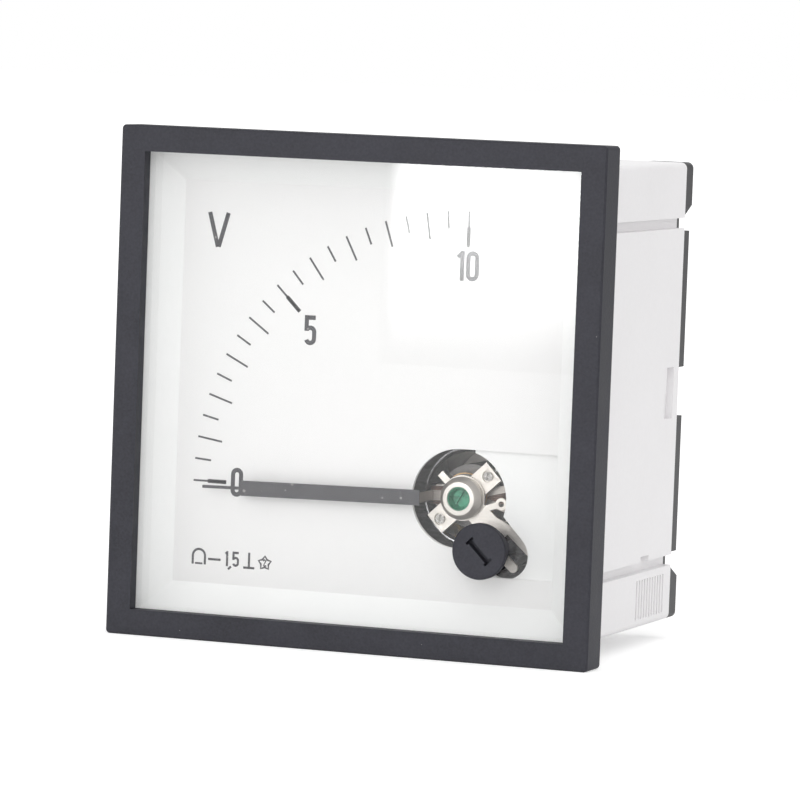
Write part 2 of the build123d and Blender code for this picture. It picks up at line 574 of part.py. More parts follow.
# Moving coil: former and winding
former_rear = core_rear + COIL_PLAY
former_long = former_rear - former_front
coil_plane = Plane(origin=(pivot_x, middle_y, pivot_z), x_dir=(1, 0, 0), z_dir=(0, 0, 1))
opening = Rectangle(2 * former_half, former_long)
former_face = Rectangle(2 * former_half + 2 * FORMER_THICK, former_long + 2 * FORMER_THICK)
coil_former = as_posed(extrude(coil_plane * (former_face - opening), FORMER_WIDTH / 2, both=True))
winding_face = RectangleRounded(2 * coil_half, coil_rear - coil_front, WINDING_THICK)
moving_coil = as_posed(extrude(coil_plane * (winding_face - former_face), WINDING_WIDTH / 2, both=True))

# Pointer: folded bar with a thin tip, on a cranked hub with a forked tail
bar_rear = dial_face - POINTER_LIFT
bar_front = bar_rear - POINTER_FLANGE
web_rear = bar_front + POINTER_SHEET
half_width = POINTER_WIDTH / 2
crank_out = POINTER_CRANK + POINTER_HUB_THICK
bar_x = pivot_x - pointer_bar_end
bar_root = pivot_x - crank_out
pointer = block(bar_x, pivot_x - POINTER_CRANK, bar_front, web_rear, pivot_z - half_width, pivot_z + half_width)
for sign in (-1, 1):
    edge = pivot_z + sign * half_width
    fold = edge - sign * POINTER_SHEET
    pointer += block(bar_x, bar_root, bar_front, bar_rear, min(edge, fold), max(edge, fold))
tip_half = POINTER_TIP_WIDTH / 2
pointer += block(pivot_x - pointer_tip_end, bar_x + tip_half, bar_front, web_rear,
                 pivot_z - tip_half, pivot_z + tip_half)
root_half = POINTER_ROOT_WIDTH / 2
pointer_hub = block(bar_root, pivot_x - POINTER_CRANK, web_rear, coil_front, pivot_z - root_half, pivot_z + root_half)
hub = Circle(POINTER_HUB_RADIUS) + Pos(-crank_out / 2, 0) * Rectangle(crank_out, POINTER_ROOT_WIDTH)
for sign in (-1, 1):
    tail = Pos(TAIL_REACH / 2, 0) * Rectangle(TAIL_REACH, TAIL_WIDTH)
    tail += Pos(TAIL_REACH, 0) * Circle(TAIL_WIDTH / 2)
    hub += Rot(0, 0, sign * TAIL_SPREAD) * tail
hub -= Circle(HUB_STUD_RADIUS)
pointer_hub += slab(at_pivot(hub), hub_front, coil_front)

# Balance weights sized so that the moving system balances on its axis
lean = pointer.volume * (pivot_x - pointer.center(CenterOf.MASS).X)
lean += pointer_hub.volume * (pivot_x - pointer_hub.center(CenterOf.MASS).X)
weight_area = lean / (2 * TAIL_REACH * cos(radians(TAIL_SPREAD)) * WEIGHT_DENSITY_RATIO * WEIGHT_HEIGHT)
weight_radius = sqrt(weight_area / pi)
balance_weights = []
for sign in (-1, 1):
    x, z = around(TAIL_REACH, sign * TAIL_SPREAD)
    balance_weights.append(as_posed(rod(x, z, weight_radius, hub_front - WEIGHT_HEIGHT, hub_front)))
pointer = as_posed(pointer)

# Zero corrector: slotted knob in front of the pane, crank with its pin behind
knob_front = pane_front - KNOB_HEIGHT
crank_front = pane_rear + RUN_FIT
crank_rear = crank_front + CRANK_THICK
zero_knob = rod(knob_x, knob_z, KNOB_RADIUS, knob_front, pane_front - RUN_FIT)
zero_knob = chamfer(zero_knob.faces().sort_by(Axis.Y)[0].edges(), KNOB_EDGE)
zero_knob += rod(knob_x, knob_z, KNOB_SHAFT_RADIUS, pane_front - RUN_FIT, crank_front)
slot = Rectangle(KNOB_SLOT_LENGTH, KNOB_SLOT_WIDTH)
for sign in (-1, 1):
    slot += Pos(sign * KNOB_SLOT_LENGTH / 2, 0) * Rectangle(KNOB_SLOT_WIDTH / 2, KNOB_SLOT_END)
slot = Pos(knob_x, knob_z) * Rot(0, 0, KNOB_SLOT_ANGLE) * slot
zero_knob -= slab(slot, knob_front - 1, knob_front + KNOB_SLOT_DEPTH)
crank_radius = CRANK_THROW + CRANK_PIN_RADIUS + CRANK_RIM
zero_crank = rod(knob_x, knob_z, crank_radius, crank_front, crank_rear)
zero_crank += rod(pin_x, pin_z, CRANK_PIN_RADIUS, crank_rear, lever_rear + CRANK_PIN_PAST)

# Rear base: plate, skirt, side strips, sloped corner blocks and terminal seats
plate_half = case_half - BASE_EDGE_INSET
rear_base = slab(square(plate_half), CASE_REAR, base_rear)
skirt_half = ledge_half - FIT
rear_base += slab(square(skirt_half) - square(skirt_half - BASE_SKIRT_WALL), skirt_front, CASE_REAR)
block_in = case_half - BASE_BLOCK_WIDTH
block_top = CASE_REAR + BASE_BLOCK_DEPTH
block_low = rail_top + BASE_STRIP_GAP
strip_end = rail_low - BASE_STRIP_GAP
strip_long = strip_end - BASE_MID_GAP / 2
strip_middle = (strip_end + BASE_MID_GAP / 2) / 2
corner = make_face(Polyline(
    (CASE_REAR, block_low), (block_top, block_low + BASE_BLOCK_SLOPE),
    (block_top, case_half), (CASE_REAR, case_half), close=True))
corner_plane = Plane(origin=(block_in, 0, 0), x_dir=(0, 1, 0), z_dir=(1, 0, 0))
corner_block = extrude(corner_plane * corner, amount=BASE_BLOCK_WIDTH)
rounded = corner_block.edges().filter_by(Axis.Y).sort_by(Axis.X)[-2:].sort_by(Axis.Z)[-1]
corner_block = fillet(rounded, CASE_CORNER)
for sign_z in (-1, 1):
    strip = Pos(0, sign_z * strip_middle) * Rectangle(case_size, strip_long)
    rear_base += slab(strip, CASE_REAR, base_rear)
for piece in (corner_block, corner_block.mirror(Plane.YZ)):
    rear_base += piece
    rear_base += piece.mirror(Plane.XY)
base_screws = []
head_seat = base_rear - BASE_HEAD_HEIGHT
for sign_x in (-1, 1):
    for sign_z in (-1, 1):
        x = sign_x * screw_reach
        z = sign_z * screw_reach
        rear_base -= rod(x, z, BASE_HEAD_RADIUS + FIT, head_seat, block_top + 1)
        rear_base -= rod(x, z, BASE_SCREW_RADIUS + FIT, CASE_REAR - BASE_SKIRT - 1, block_top)
        head = rod(x, z, BASE_HEAD_RADIUS, head_seat, base_rear)
        cross = Rectangle(BASE_HEAD_RADIUS * 1.2, BASE_SCREW_RADIUS / 2)
        cross += Rectangle(BASE_SCREW_RADIUS / 2, BASE_HEAD_RADIUS * 1.2)
        head -= slab(Pos(x, z) * cross, base_rear - BASE_HEAD_HEIGHT / 2, base_rear + 1)
        base_screws.append(head + rod(x, z, BASE_SCREW_RADIUS, post_rear - BASE_SCREW_BITE, head_seat))

# Terminals: seats on the base, studs, washers, nuts, inner lugs and inner nuts
terminal_studs = []
terminal_nuts = []
terminal_washers = []
inner_nuts = []
solder_lugs = []
lug_front = CASE_REAR - LUG_THICK
inner_nut_front = lug_front - NUT_HEIGHT
lead_x, lead_z = around(LEAD_REACH, BRIDGE_ANGLE)
plus_turn = degrees(atan2(lead_z, lead_x - terminal_x))
plus_reach = hypot(lead_x - terminal_x, lead_z)
for x, turn, reach in ((-terminal_x, 0.0, LUG_REACH), (terminal_x, plus_turn, plus_reach)):
    rear_base += rod(x, 0, SEAT_RADIUS, base_rear, seat_rear)
    rear_base -= rod(x, 0, STUD_RADIUS + FIT, CASE_REAR - 1, seat_rear + 1)
    terminal_studs.append(rod(x, 0, STUD_RADIUS, inner_nut_front - STUD_IN, seat_rear + STUD_OUT))
    bore = Circle(STUD_RADIUS)
    hexagon = RegularPolygon(NUT_FLATS / 2, 6, major_radius=False)
    washer_rear = seat_rear + WASHER_THICK
    terminal_washers.append(slab(Pos(x, 0) * (Circle(WASHER_RADIUS) - bore), seat_rear, washer_rear))
    terminal_nuts.append(slab(Pos(x, 0) * (hexagon - bore), washer_rear, washer_rear + NUT_HEIGHT))
    inner_nuts.append(slab(Pos(x, 0) * (hexagon - bore), inner_nut_front, lug_front))
    lug = Circle(LUG_RADIUS) + Pos(reach / 2, 0) * Rectangle(reach, 2 * LUG_END_RADIUS)
    lug += Pos(reach, 0) * Circle(LUG_END_RADIUS)
    solder_lugs.append(slab(Pos(x, 0) * Rot(0, 0, turn) * (lug - bore), lug_front, CASE_REAR))

# Series resistor on its own leads, from the plus lug to the strap
resistor_rear = RESISTOR_FRONT + RESISTOR_LENGTH
series_resistor = rod(lead_x, lead_z, RESISTOR_RADIUS, RESISTOR_FRONT, resistor_rear)
series_resistor = fillet(series_resistor.edges(), RESISTOR_RADIUS / 3)
resistor_leads = [rod(lead_x, lead_z, RESISTOR_LEAD_RADIUS, resistor_rear, lug_front)]
strap_level = strap_rear + RESISTOR_LEAD_RADIUS + FIT / 5
end_x, end_z = around(BRIDGE_SCREW_REACH + SPACER_RADIUS + FIT / 2, BRIDGE_ANGLE)
route = FilletPolyline((lead_x, RESISTOR_FRONT, lead_z), (lead_x, strap_level, lead_z),
                       (end_x, strap_level, end_z), radius=LEAD_BEND)
start = Plane(origin=(lead_x, RESISTOR_FRONT, lead_z), z_dir=(0, -1, 0))
resistor_leads.append(sweep(start * Circle(RESISTOR_LEAD_RADIUS), path=route))

# Minus lead from its lug to the movement plate
minus_x = LUG_REACH - terminal_x
tag_x, tag_z = around(LEAD_PLATE_REACH, LEAD_PLATE_ANGLE)
route = FilletPolyline((minus_x, lug_front, 0), (minus_x, LEAD_TURN, 0), (tag_x, LEAD_TURN, tag_z),
                       (tag_x, plate_rear, tag_z), radius=LEAD_BEND)
start = Plane(origin=(minus_x, lug_front, 0), z_dir=(0, -1, 0))
lead_minus = sweep(start * Circle(LEAD_RADIUS), path=route)

pieces = {
    "bezel": bezel,
    "window_pane": window_pane,
    "case": case,
    "dial_mask": dial_mask,
    "dial_plate": dial_plate,
    "movement_carrier": movement_carrier,
    "movement_screws": movement_screws,
    "yoke_ring": yoke_ring,
    "core_magnet": core_magnet,
    "movement_plate": movement_plate,
    "front_bridge": front_bridge,
    "front_spacers": front_spacers,
    "rear_spacers": rear_spacers,
    "front_bridge_screws": front_bridge_screws,
    "rear_bridge_screws": rear_bridge_screws,
    "lever_collar": lever_collar,
    "front_jewel_screw": front_jewel_screw,
    "rear_jewel_screw": rear_jewel_screw,
    "front_pivot": as_posed(front_pivot),
    "rear_pivot": as_posed(rear_pivot),
    "front_hairspring": front_hairspring,
    "rear_hairspring": rear_hairspring,
    "zero_lever": zero_lever,
    "coil_former": coil_former,
    "moving_coil": moving_coil,
    "pointer": pointer,
    "pointer_hub": as_posed(pointer_hub),
    "balance_weights": balance_weights,
    "zero_knob": zero_knob,
    "zero_crank": zero_crank,
    "rear_base": rear_base,
    "base_screws": base_screws,
    "terminal_studs": terminal_studs,
    "terminal_nuts": terminal_nuts,
    "terminal_washers": terminal_washers,
    "inner_nuts": inner_nuts,
    "solder_lugs": solder_lugs,
    "series_resistor": series_resistor,
    "resistor_leads": resistor_leads,
    "lead_minus": lead_minus,
}

for name, piece in pieces.items():
    solids = piece if isinstance(piece, list) else [piece]
    whole = Compound(children=[solid for item in solids for solid in item.solids()])
    export_step(whole, f"parts/{name}.step")
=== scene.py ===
import json
import logging
import math
from dataclasses import dataclass, field
from enum import Enum
from typing import Callable

import bmesh
import bpy
from mathutils import Matrix, Vector


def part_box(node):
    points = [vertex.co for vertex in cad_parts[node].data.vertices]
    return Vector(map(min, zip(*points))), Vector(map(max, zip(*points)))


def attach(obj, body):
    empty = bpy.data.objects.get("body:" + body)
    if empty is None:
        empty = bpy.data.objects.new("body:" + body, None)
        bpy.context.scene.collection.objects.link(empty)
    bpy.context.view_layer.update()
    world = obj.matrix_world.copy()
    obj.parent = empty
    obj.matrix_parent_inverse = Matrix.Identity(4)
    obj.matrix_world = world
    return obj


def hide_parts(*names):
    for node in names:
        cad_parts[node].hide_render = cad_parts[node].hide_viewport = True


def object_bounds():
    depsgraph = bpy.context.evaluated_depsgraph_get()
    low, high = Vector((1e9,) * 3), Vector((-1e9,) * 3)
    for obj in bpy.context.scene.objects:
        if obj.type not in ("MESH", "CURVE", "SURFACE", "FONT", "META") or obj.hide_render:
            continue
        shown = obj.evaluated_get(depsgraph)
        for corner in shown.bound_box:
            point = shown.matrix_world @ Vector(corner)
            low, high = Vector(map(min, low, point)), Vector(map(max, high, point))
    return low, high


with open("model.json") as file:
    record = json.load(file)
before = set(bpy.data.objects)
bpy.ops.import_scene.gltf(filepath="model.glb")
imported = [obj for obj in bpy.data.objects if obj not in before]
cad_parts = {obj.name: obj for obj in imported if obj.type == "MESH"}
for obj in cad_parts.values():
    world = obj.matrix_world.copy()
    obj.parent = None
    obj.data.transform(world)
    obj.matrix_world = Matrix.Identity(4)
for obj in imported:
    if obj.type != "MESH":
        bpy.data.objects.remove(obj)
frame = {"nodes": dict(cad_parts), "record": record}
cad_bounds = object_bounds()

MM = 0.001
LOG = logging.getLogger("panel_meter")
Colour = tuple[float, float, float]
Triple = tuple[float, float, float]
Point = tuple[float, float]
Pair = tuple[float, float]
Box = tuple[float, float, float, float]
Names = tuple[str, ...]
Shape = bmesh.types.BMesh
Mesh = bpy.types.Mesh
Item = bpy.types.Object
Node = bpy.types.Node
ShaderTree = bpy.types.ShaderNodeTree
Socket = bpy.types.NodeSocket
Sockets = bpy.types.NodeOutputs
NodeInputs = dict[str | int, Socket | float | tuple[float, ...]]
Edges = list[bmesh.types.BMEdge]
TONE_LOW, TONE_HIGH = 0.3, 0.7
WHITE = (1.0, 1.0, 1.0, 1.0)


class Grain(Enum):
    """Kinds of surface that the meter's pieces have."""

    MOULDED = "moulded"
    BRUSHED = "brushed"
    WOUND = "wound"
    GLASS = "glass"


class Sign(Enum):
    """Figures and letters printed on the dial."""

    ZERO = "zero"
    ONE = "one"
    FIVE = "five"
    LETTER_V = "letter V"


@dataclass(frozen=True)
class Finish:
    """One finish, with the values that set it apart.

    Args:
        slot: The record's material slot.
        dark: Base colour in the hollows of the grain.
        light: Base colour on the tops of the grain.
        grain: Kind of surface.
        rough: Lowest and highest roughness.
        fine: Scale of the fine grain, per metre.
        cloud: Scale of the slow change of tone, per metre.
        metallic: Metallic value of the shader.
        bump: Strength of the relief.
        relief: Depth of the relief in millimetres.
        dust: Share of dust specks that show.
        coat: Weight of a clear coat.
        specular: Specular level of the shader.
    """

    slot: str
    dark: Colour
    light: Colour
    grain: Grain
    rough: Pair
    fine: float
    cloud: float
    metallic: float = 0.0
    bump: float = 0.1
    relief: float = 0.05
    dust: float = 0.0
    coat: float = 0.0
    specular: float = 0.5


FINISHES: tuple[Finish, ...] = (
    Finish("black_plastic", (0.011, 0.011, 0.0172), (0.0353, 0.0353, 0.0465), Grain.MOULDED, (0.5, 0.68),
           fine=2900.0, cloud=140.0, bump=0.6, relief=0.06, dust=0.07, specular=0.4),
    Finish("base_plastic", (0.032, 0.032, 0.035), (0.055, 0.055, 0.058), Grain.MOULDED, (0.45, 0.6),
           fine=2600.0, cloud=110.0, bump=0.35, dust=0.04),
    Finish("case_plastic", (0.83, 0.817, 0.825), (0.868, 0.856, 0.865), Grain.MOULDED, (0.42, 0.55),
           fine=1500.0, cloud=60.0, bump=0.12, dust=0.02),
    Finish("white_plastic", (0.9, 0.9, 0.893), (0.935, 0.935, 0.928), Grain.MOULDED, (0.45, 0.6),
           fine=1800.0, cloud=70.0, bump=0.08),
    Finish("dial_paint", (0.88, 0.869, 0.865), (0.905, 0.896, 0.892), Grain.MOULDED, (0.55, 0.7),
           fine=5200.0, cloud=50.0, bump=0.06),
    Finish("pointer_paint", (0.06, 0.059, 0.066), (0.09, 0.088, 0.096), Grain.MOULDED, (0.55, 0.75),
           fine=6000.0, cloud=260.0, bump=0.2, dust=0.3, specular=0.3),
    Finish("nickel", (0.64, 0.6, 0.56), (0.78, 0.735, 0.69), Grain.BRUSHED, (0.36, 0.55),
           metallic=1.0, fine=3200.0, cloud=300.0),
    # Painted reflection and shade: the iron's base colour is set well darker than bare iron, so the yoke
    # reads as reflecting dark surroundings and lying in shade.
    Finish("iron", (0.1, 0.098, 0.104), (0.42, 0.416, 0.43), Grain.BRUSHED, (0.06, 0.18),
           metallic=1.0, fine=2600.0, cloud=420.0, bump=0.12),
    Finish("magnet", (0.1, 0.095, 0.095), (0.2, 0.19, 0.185), Grain.BRUSHED, (0.3, 0.5),
           metallic=1.0, fine=2400.0, cloud=380.0, bump=0.15),
    Finish("brass", (0.55, 0.38, 0.14), (0.74, 0.55, 0.25), Grain.BRUSHED, (0.24, 0.42),
           metallic=1.0, fine=2800.0, cloud=260.0),
    Finish("green_lacquer", (0.004, 0.13, 0.065), (0.014, 0.3, 0.16), Grain.BRUSHED, (0.22, 0.36),
           metallic=0.3, fine=3600.0, cloud=700.0, coat=0.5),
    # Steel's own grey, set darker as painted shade, so the screw heads read as shaded in their seats.
    Finish("steel", (0.25, 0.24, 0.23), (0.44, 0.425, 0.41), Grain.BRUSHED, (0.18, 0.34),
           metallic=1.0, fine=3000.0, cloud=400.0),
    Finish("bronze", (0.5, 0.3, 0.12), (0.68, 0.45, 0.22), Grain.BRUSHED, (0.25, 0.4),
           metallic=1.0, fine=4000.0, cloud=500.0),
    # Painted shade: the bare aluminium's base colour is set far darker than bare aluminium, so the pointer
    # hub reads as shaded under the bridge.
    Finish("bare_aluminium", (0.26, 0.235, 0.22), (0.42, 0.385, 0.36), Grain.BRUSHED, (0.3, 0.45),
           metallic=1.0, fine=3000.0, cloud=300.0),
    Finish("copper", (0.045, 0.022, 0.016), (0.15, 0.075, 0.05), Grain.WOUND, (0.28, 0.45),
           metallic=0.5, fine=1150.0, cloud=600.0, bump=0.6, coat=0.3),
    Finish("resistor_body", (0.3, 0.42, 0.5), (0.38, 0.5, 0.58), Grain.MOULDED, (0.3, 0.42),
           fine=2200.0, cloud=250.0, coat=0.3),
    Finish("tinned_wire", (0.58, 0.58, 0.58), (0.74, 0.74, 0.74), Grain.BRUSHED, (0.3, 0.45),
           metallic=1.0, fine=2000.0, cloud=350.0),
    Finish("lead_sleeve", (0.012, 0.02, 0.11), (0.025, 0.04, 0.18), Grain.MOULDED, (0.4, 0.52),
           fine=1600.0, cloud=200.0),
    Finish("pane", (0.97, 0.985, 0.98), (1.0, 1.0, 1.0), Grain.GLASS, (0.0, 0.02),
           fine=1500.0, cloud=40.0),
)


def feed(node: Node, inputs: NodeInputs) -> None:
    """Links or sets inputs of a node.

    Args:
        node: The node.
        inputs: A socket to link or a value to set, by the input's name or number.
    """
    for name, value in inputs.items():
        if isinstance(value, Socket):
            node.id_data.links.new(value, node.inputs[name])
        else:
            node.inputs[name].default_value = value


def add_node(tree: bpy.types.NodeTree, kind: str, inputs: NodeInputs,
             **settings: str | bpy.types.NodeTree) -> Node:
    """Adds a node with its settings and inputs.

    Args:
        tree: Tree to add to.
        kind: Type of the node.
        inputs: Its inputs, as feed takes them.
        settings: Its own settings by name.

    Returns:
        The node.
    """
    node = tree.nodes.new(kind)
    for name, value in settings.items():
        setattr(node, name, value)
    feed(node, inputs)
    return node


def combine(tree: ShaderTree, operation: str, *numbers: Socket | float) -> Socket:
    """Combines numbers by the math operation of that name."""
    return add_node(tree, "ShaderNodeMath", dict(enumerate(numbers)), operation=operation).outputs["Value"]


def map_range(tree: ShaderTree, value: Socket, start: Pair, end: Pair, rise: str = "LINEAR") -> Socket:
    """Maps a number from one range to another.

    Args:
        tree: Tree to add to.
        value: The number.
        start: Range that it comes from.
        end: Range that it goes to.
        rise: Whether it rises along a line or a smooth step.

    Returns:
        The mapped number.
    """
    limits = {"From Min": start[0], "From Max": start[1], "To Min": end[0], "To Max": end[1]}
    node = add_node(tree, "ShaderNodeMapRange", {"Value": value, **limits}, interpolation_type=rise)
    return node.outputs["Result"]


def new_material(name: str) -> tuple[bpy.types.Material, Node]:
    """Starts a material.

    Args:
        name: Name of the material.

    Returns:
        The material and its shader.
    """
    material = bpy.data.materials.new(name)
    material.use_nodes = True
    return material, material.node_tree.nodes["Principled BSDF"]


def seen_rays(tree: ShaderTree) -> Socket:
    """Adds the test for rays that show a surface or the background itself.

    Args:
        tree: Node tree of the world or of a material.

    Returns:
        A socket that is 1 for camera, glossy and transmission rays.
    """
    path = tree.nodes.new("ShaderNodeLightPath").outputs
    mirrored = combine(tree, "MAXIMUM", path["Is Glossy Ray"], path["Is Transmission Ray"])
    return combine(tree, "MAXIMUM", path["Is Camera Ray"], mirrored)


def add_object(name: str, data: bpy.types.ID) -> Item:
    """Adds an object to the scene.

    Args:
        name: Name of the object.
        data: Its mesh, curve, lamp or camera.

    Returns:
        The object.
    """
    item = bpy.data.objects.new(name, data)
    bpy.context.scene.collection.objects.link(item)
    return item


class EffectGroups:
    """Shader node groups that several finishes share."""

    FINE_DETAIL: float = 3.0
    CLOUD_DETAIL: float = 4.0
    CLOUD_SHARE: float = 0.5
    LINE_DETAIL: float = 2.0
    LINE_STRETCH: float = 0.06
    LINE_ANGLE: float = 35.0
    STAIN_DETAIL: float = 5.0
    STAIN_SHARE: float = 0.55
    TURN_SWAY: float = 0.4
    TURN_SHARE: float = 0.4
    SPECK_SIZE: float = 0.9

    def __init__(self) -> None:
        """Builds each group once."""
        moulded = self._grain("moulded_grain", self._pebbles, self.CLOUD_DETAIL, self.CLOUD_SHARE)
        self.grains = {
            Grain.MOULDED: moulded,
            Grain.GLASS: moulded,
            Grain.BRUSHED: self._grain("brushed_lines", self._lines, self.STAIN_DETAIL, self.STAIN_SHARE),
            Grain.WOUND: self._grain("wound_turns", self._turns, self.FINE_DETAIL, self.TURN_SHARE),
        }
        self.dust = self._dust_specks()

    @staticmethod
    def _new(name: str, inputs: Names, outputs: Names) -> tuple[ShaderTree, Sockets, Node]:
        """Starts a group that takes coordinates and numbers and puts out numbers.

        Args:
            name: Name of the group.
            inputs: Names of the numbers that it takes.
            outputs: Names of the numbers that it puts out.

        Returns:
            The tree, its input sockets and its output node.
        """
        tree = bpy.data.node_groups.new(name, "ShaderNodeTree")
        tree.interface.new_socket(name="Vector", in_out="INPUT", socket_type="NodeSocketVector")
        for way, labels in (("INPUT", inputs), ("OUTPUT", outputs)):
            for label in labels:
                tree.interface.new_socket(name=label, in_out=way, socket_type="NodeSocketFloat")
        return tree, tree.nodes.new("NodeGroupInput").outputs, tree.nodes.new("NodeGroupOutput")

    @staticmethod
    def _noise(tree: ShaderTree, vector: Socket, scale: Socket, detail: float) -> Socket:
        """Adds noise of a scale per metre and a number of finer layers."""
        inputs = {"Vector": vector, "Scale": scale, "Detail": detail}
        return add_node(tree, "ShaderNodeTexNoise", inputs).outputs["Fac"]

    def _grain(self, name: str, relief: Callable[[ShaderTree, Sockets], Socket], detail: float,
               share: float) -> ShaderTree:
        """Makes a group whose tone blends a fine relief with a slow change.

        Args:
            name: Name of the group.
            relief: Method that adds the relief.
            detail: Number of finer layers in the slow change.
            share: Share of the slow change in the tone.

        Returns:
            The group with Tone and Height.
        """
        tree, start, end = self._new(name, ("Fine", "Cloud"), ("Tone", "Height"))
        height = relief(tree, start)
        slow = self._noise(tree, start["Vector"], start["Cloud"], detail)
        tone = add_node(tree, "ShaderNodeMix", {"Factor": share, "A": height, "B": slow})
        feed(end, {"Tone": tone.outputs["Result"], "Height": height})
        return tree

    def _pebbles(self, tree: ShaderTree, start: Sockets) -> Socket:
        """Adds the fine pebbles of a moulded or painted skin."""
        return self._noise(tree, start["Vector"], start["Fine"], self.FINE_DETAIL)

    def _lines(self, tree: ShaderTree, start: Sockets) -> Socket:
        """Adds fine lines, as on ground or plated metal.

        Args:
            tree: Tree to add to.
            start: The group's input sockets.

        Returns:
            The relief.
        """
        stretch = add_node(tree, "ShaderNodeMapping", {
            "Vector": start["Vector"],
            "Rotation": (0.0, math.radians(self.LINE_ANGLE), 0.0),
            "Scale": (self.LINE_STRETCH, 1.0, 1.0),
        })
        return self._noise(tree, stretch.outputs["Vector"], start["Fine"], self.LINE_DETAIL)

    def _turns(self, tree: ShaderTree, start: Sockets) -> Socket:
        """Adds turns of fine wire that lie side by side along Z."""
        inputs = {"Vector": start["Vector"], "Scale": start["Fine"], "Distortion": self.TURN_SWAY}
        return add_node(tree, "ShaderNodeTexWave", inputs, bands_direction="Z").outputs["Fac"]

    def _dust_specks(self) -> ShaderTree:
        """Scattered specks of dust of uneven size.

        Returns:
            The node group with Mask.
        """
        tree, start, end = self._new("dust_specks", ("Scatter", "Share"), ("Mask",))
        inputs = {"Vector": start["Vector"], "Scale": start["Scatter"]}
        cells = add_node(tree, "ShaderNodeTexVoronoi", inputs).outputs
        split = add_node(tree, "ShaderNodeSeparateColor", {"Color": cells["Color"]})
        chosen = combine(tree, "ADD", split.outputs["Red"], start["Share"])
        size = combine(tree, "MULTIPLY_ADD", chosen, self.SPECK_SIZE, -self.SPECK_SIZE)
        feed(end, {"Mask": combine(tree, "LESS_THAN", cells["Distance"], size)})
        return tree


class FinishShop:
    """Makes one material for each finish."""

    DUST: Colour = (0.32, 0.31, 0.3)
    DUST_SCATTER: float = 1100.0
    PANE_IOR: float = 1.46

    def __init__(self, effects: EffectGroups) -> None:
        """Makes every material.

        Args:
            effects: The shared shader groups.
        """
        self.effects = effects
        self.materials = {finish.slot: self._make(finish) for finish in FINISHES}

    def _make(self, finish: Finish) -> bpy.types.Material:
        """Builds the material of one finish.

        Args:
            finish: The finish.

        Returns:
            The material.
        """
        material, shader = new_material(finish.slot)
        tree = material.node_tree
        place = tree.nodes.new("ShaderNodeTexCoord").outputs["Object"]
        sizes = {"Vector": place, "Fine": finish.fine, "Cloud": finish.cloud}
        group = self.effects.grains[finish.grain]
        effect = add_node(tree, "ShaderNodeGroup", sizes, node_tree=group).outputs
        colour = self._colour(tree, effect["Tone"], finish)
        if finish.dust:
            colour = self._dusted(tree, place, colour, finish.dust)
        feed(shader, {
            "Base Color": colour,
            "Roughness": map_range(tree, effect["Tone"], (TONE_LOW, TONE_HIGH), finish.rough),
            "Metallic": finish.metallic,
            "Coat Weight": finish.coat,
            "Specular IOR Level": finish.specular,
        })
        if finish.grain is Grain.GLASS:
            feed(shader, {"Transmission Weight": 1.0, "IOR": self.PANE_IOR})
            self._let_light_in(tree, shader)
            return material
        relief = {"Strength": finish.bump, "Distance": finish.relief * MM, "Height": effect["Height"]}
        feed(shader, {"Normal": add_node(tree, "ShaderNodeBump", relief).outputs["Normal"]})
        return material

    @staticmethod
    def _let_light_in(tree: ShaderTree, shader: bpy.types.ShaderNodeBsdfPrincipled) -> None:
        """Lets the light itself pass straight through a clear pane.

        Args:
            tree: Node tree of the pane's material.
            shader: Its glass shader.
        """
        clear = tree.nodes.new("ShaderNodeBsdfTransparent").outputs["BSDF"]
        inputs = {"Fac": seen_rays(tree), 1: clear, 2: shader.outputs["BSDF"]}
        mix = add_node(tree, "ShaderNodeMixShader", inputs)
        feed(tree.nodes["Material Output"], {"Surface": mix.outputs["Shader"]})

    @staticmethod
    def _colour(tree: ShaderTree, tone: Socket, finish: Finish) -> Socket:
        """Mixes the dark and light colours by the grain's tone.

        Args:
            tree: The material's tree.
            tone: The grain's tone.
            finish: The finish.

        Returns:
            The mixed colour.
        """
        ramp = add_node(tree, "ShaderNodeValToRGB", {"Fac": tone})
        ends = ((TONE_LOW, finish.dark), (TONE_HIGH, finish.light))
        for element, (position, colour) in zip(ramp.color_ramp.elements, ends):
            element.position = position
            element.color = (*colour, 1.0)
        return ramp.outputs["Color"]

    def _dusted(self, tree: ShaderTree, place: Socket, colour: Socket, share: float) -> Socket:
        """Lays dust specks over a colour.

        Args:
            tree: The material's tree.
            place: Coordinates.
            colour: The clean colour.
            share: Share of specks that show.

        Returns:
            The dusted colour.
        """
        inputs = {"Vector": place, "Scatter": self.DUST_SCATTER, "Share": share}
        specks = add_node(tree, "ShaderNodeGroup", inputs, node_tree=self.effects.dust)
        blend = {"Factor": specks.outputs["Mask"], "A": colour, "B": (*self.DUST, 1.0)}
        return add_node(tree, "ShaderNodeMix", blend, data_type="RGBA").outputs["Result"]


@dataclass
class PieceMaker:
    """Turns meshes into finished pieces that ride on the housing.

    Args:
        shop: The materials.
    """

    shop: FinishShop

    def finish(self, shape: Shape, name: str, slot: str) -> Item:
        """Makes a piece from a bmesh, dresses it and lets it ride on the housing.

        Args:
            shape: Finished bmesh, in place, in millimetres.
            name: Name of the piece.
            slot: Material slot whose finish it takes.

        Returns:
            The piece.
        """
        bmesh.ops.scale(shape, vec=(MM, MM, MM), verts=shape.verts)
        bmesh.ops.recalc_face_normals(shape, faces=shape.faces)
        mesh = self.mesh_from(shape, name)
        mesh.materials.append(self.shop.materials[slot])
        piece = add_object(name, mesh)
        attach(piece, "housing")
        LOG.info("piece %s has %d faces", name, len(mesh.polygons))
        return piece

    @staticmethod
    def mesh_from(shape: Shape, name: str) -> Mesh:
        """Writes a bmesh to a new mesh and frees it.

        Args:
            shape: The bmesh.
            name: Name of the mesh.

        Returns:
            The mesh.
        """
        mesh = bpy.data.meshes.new(name)
        shape.to_mesh(mesh)
        shape.free()
        return mesh


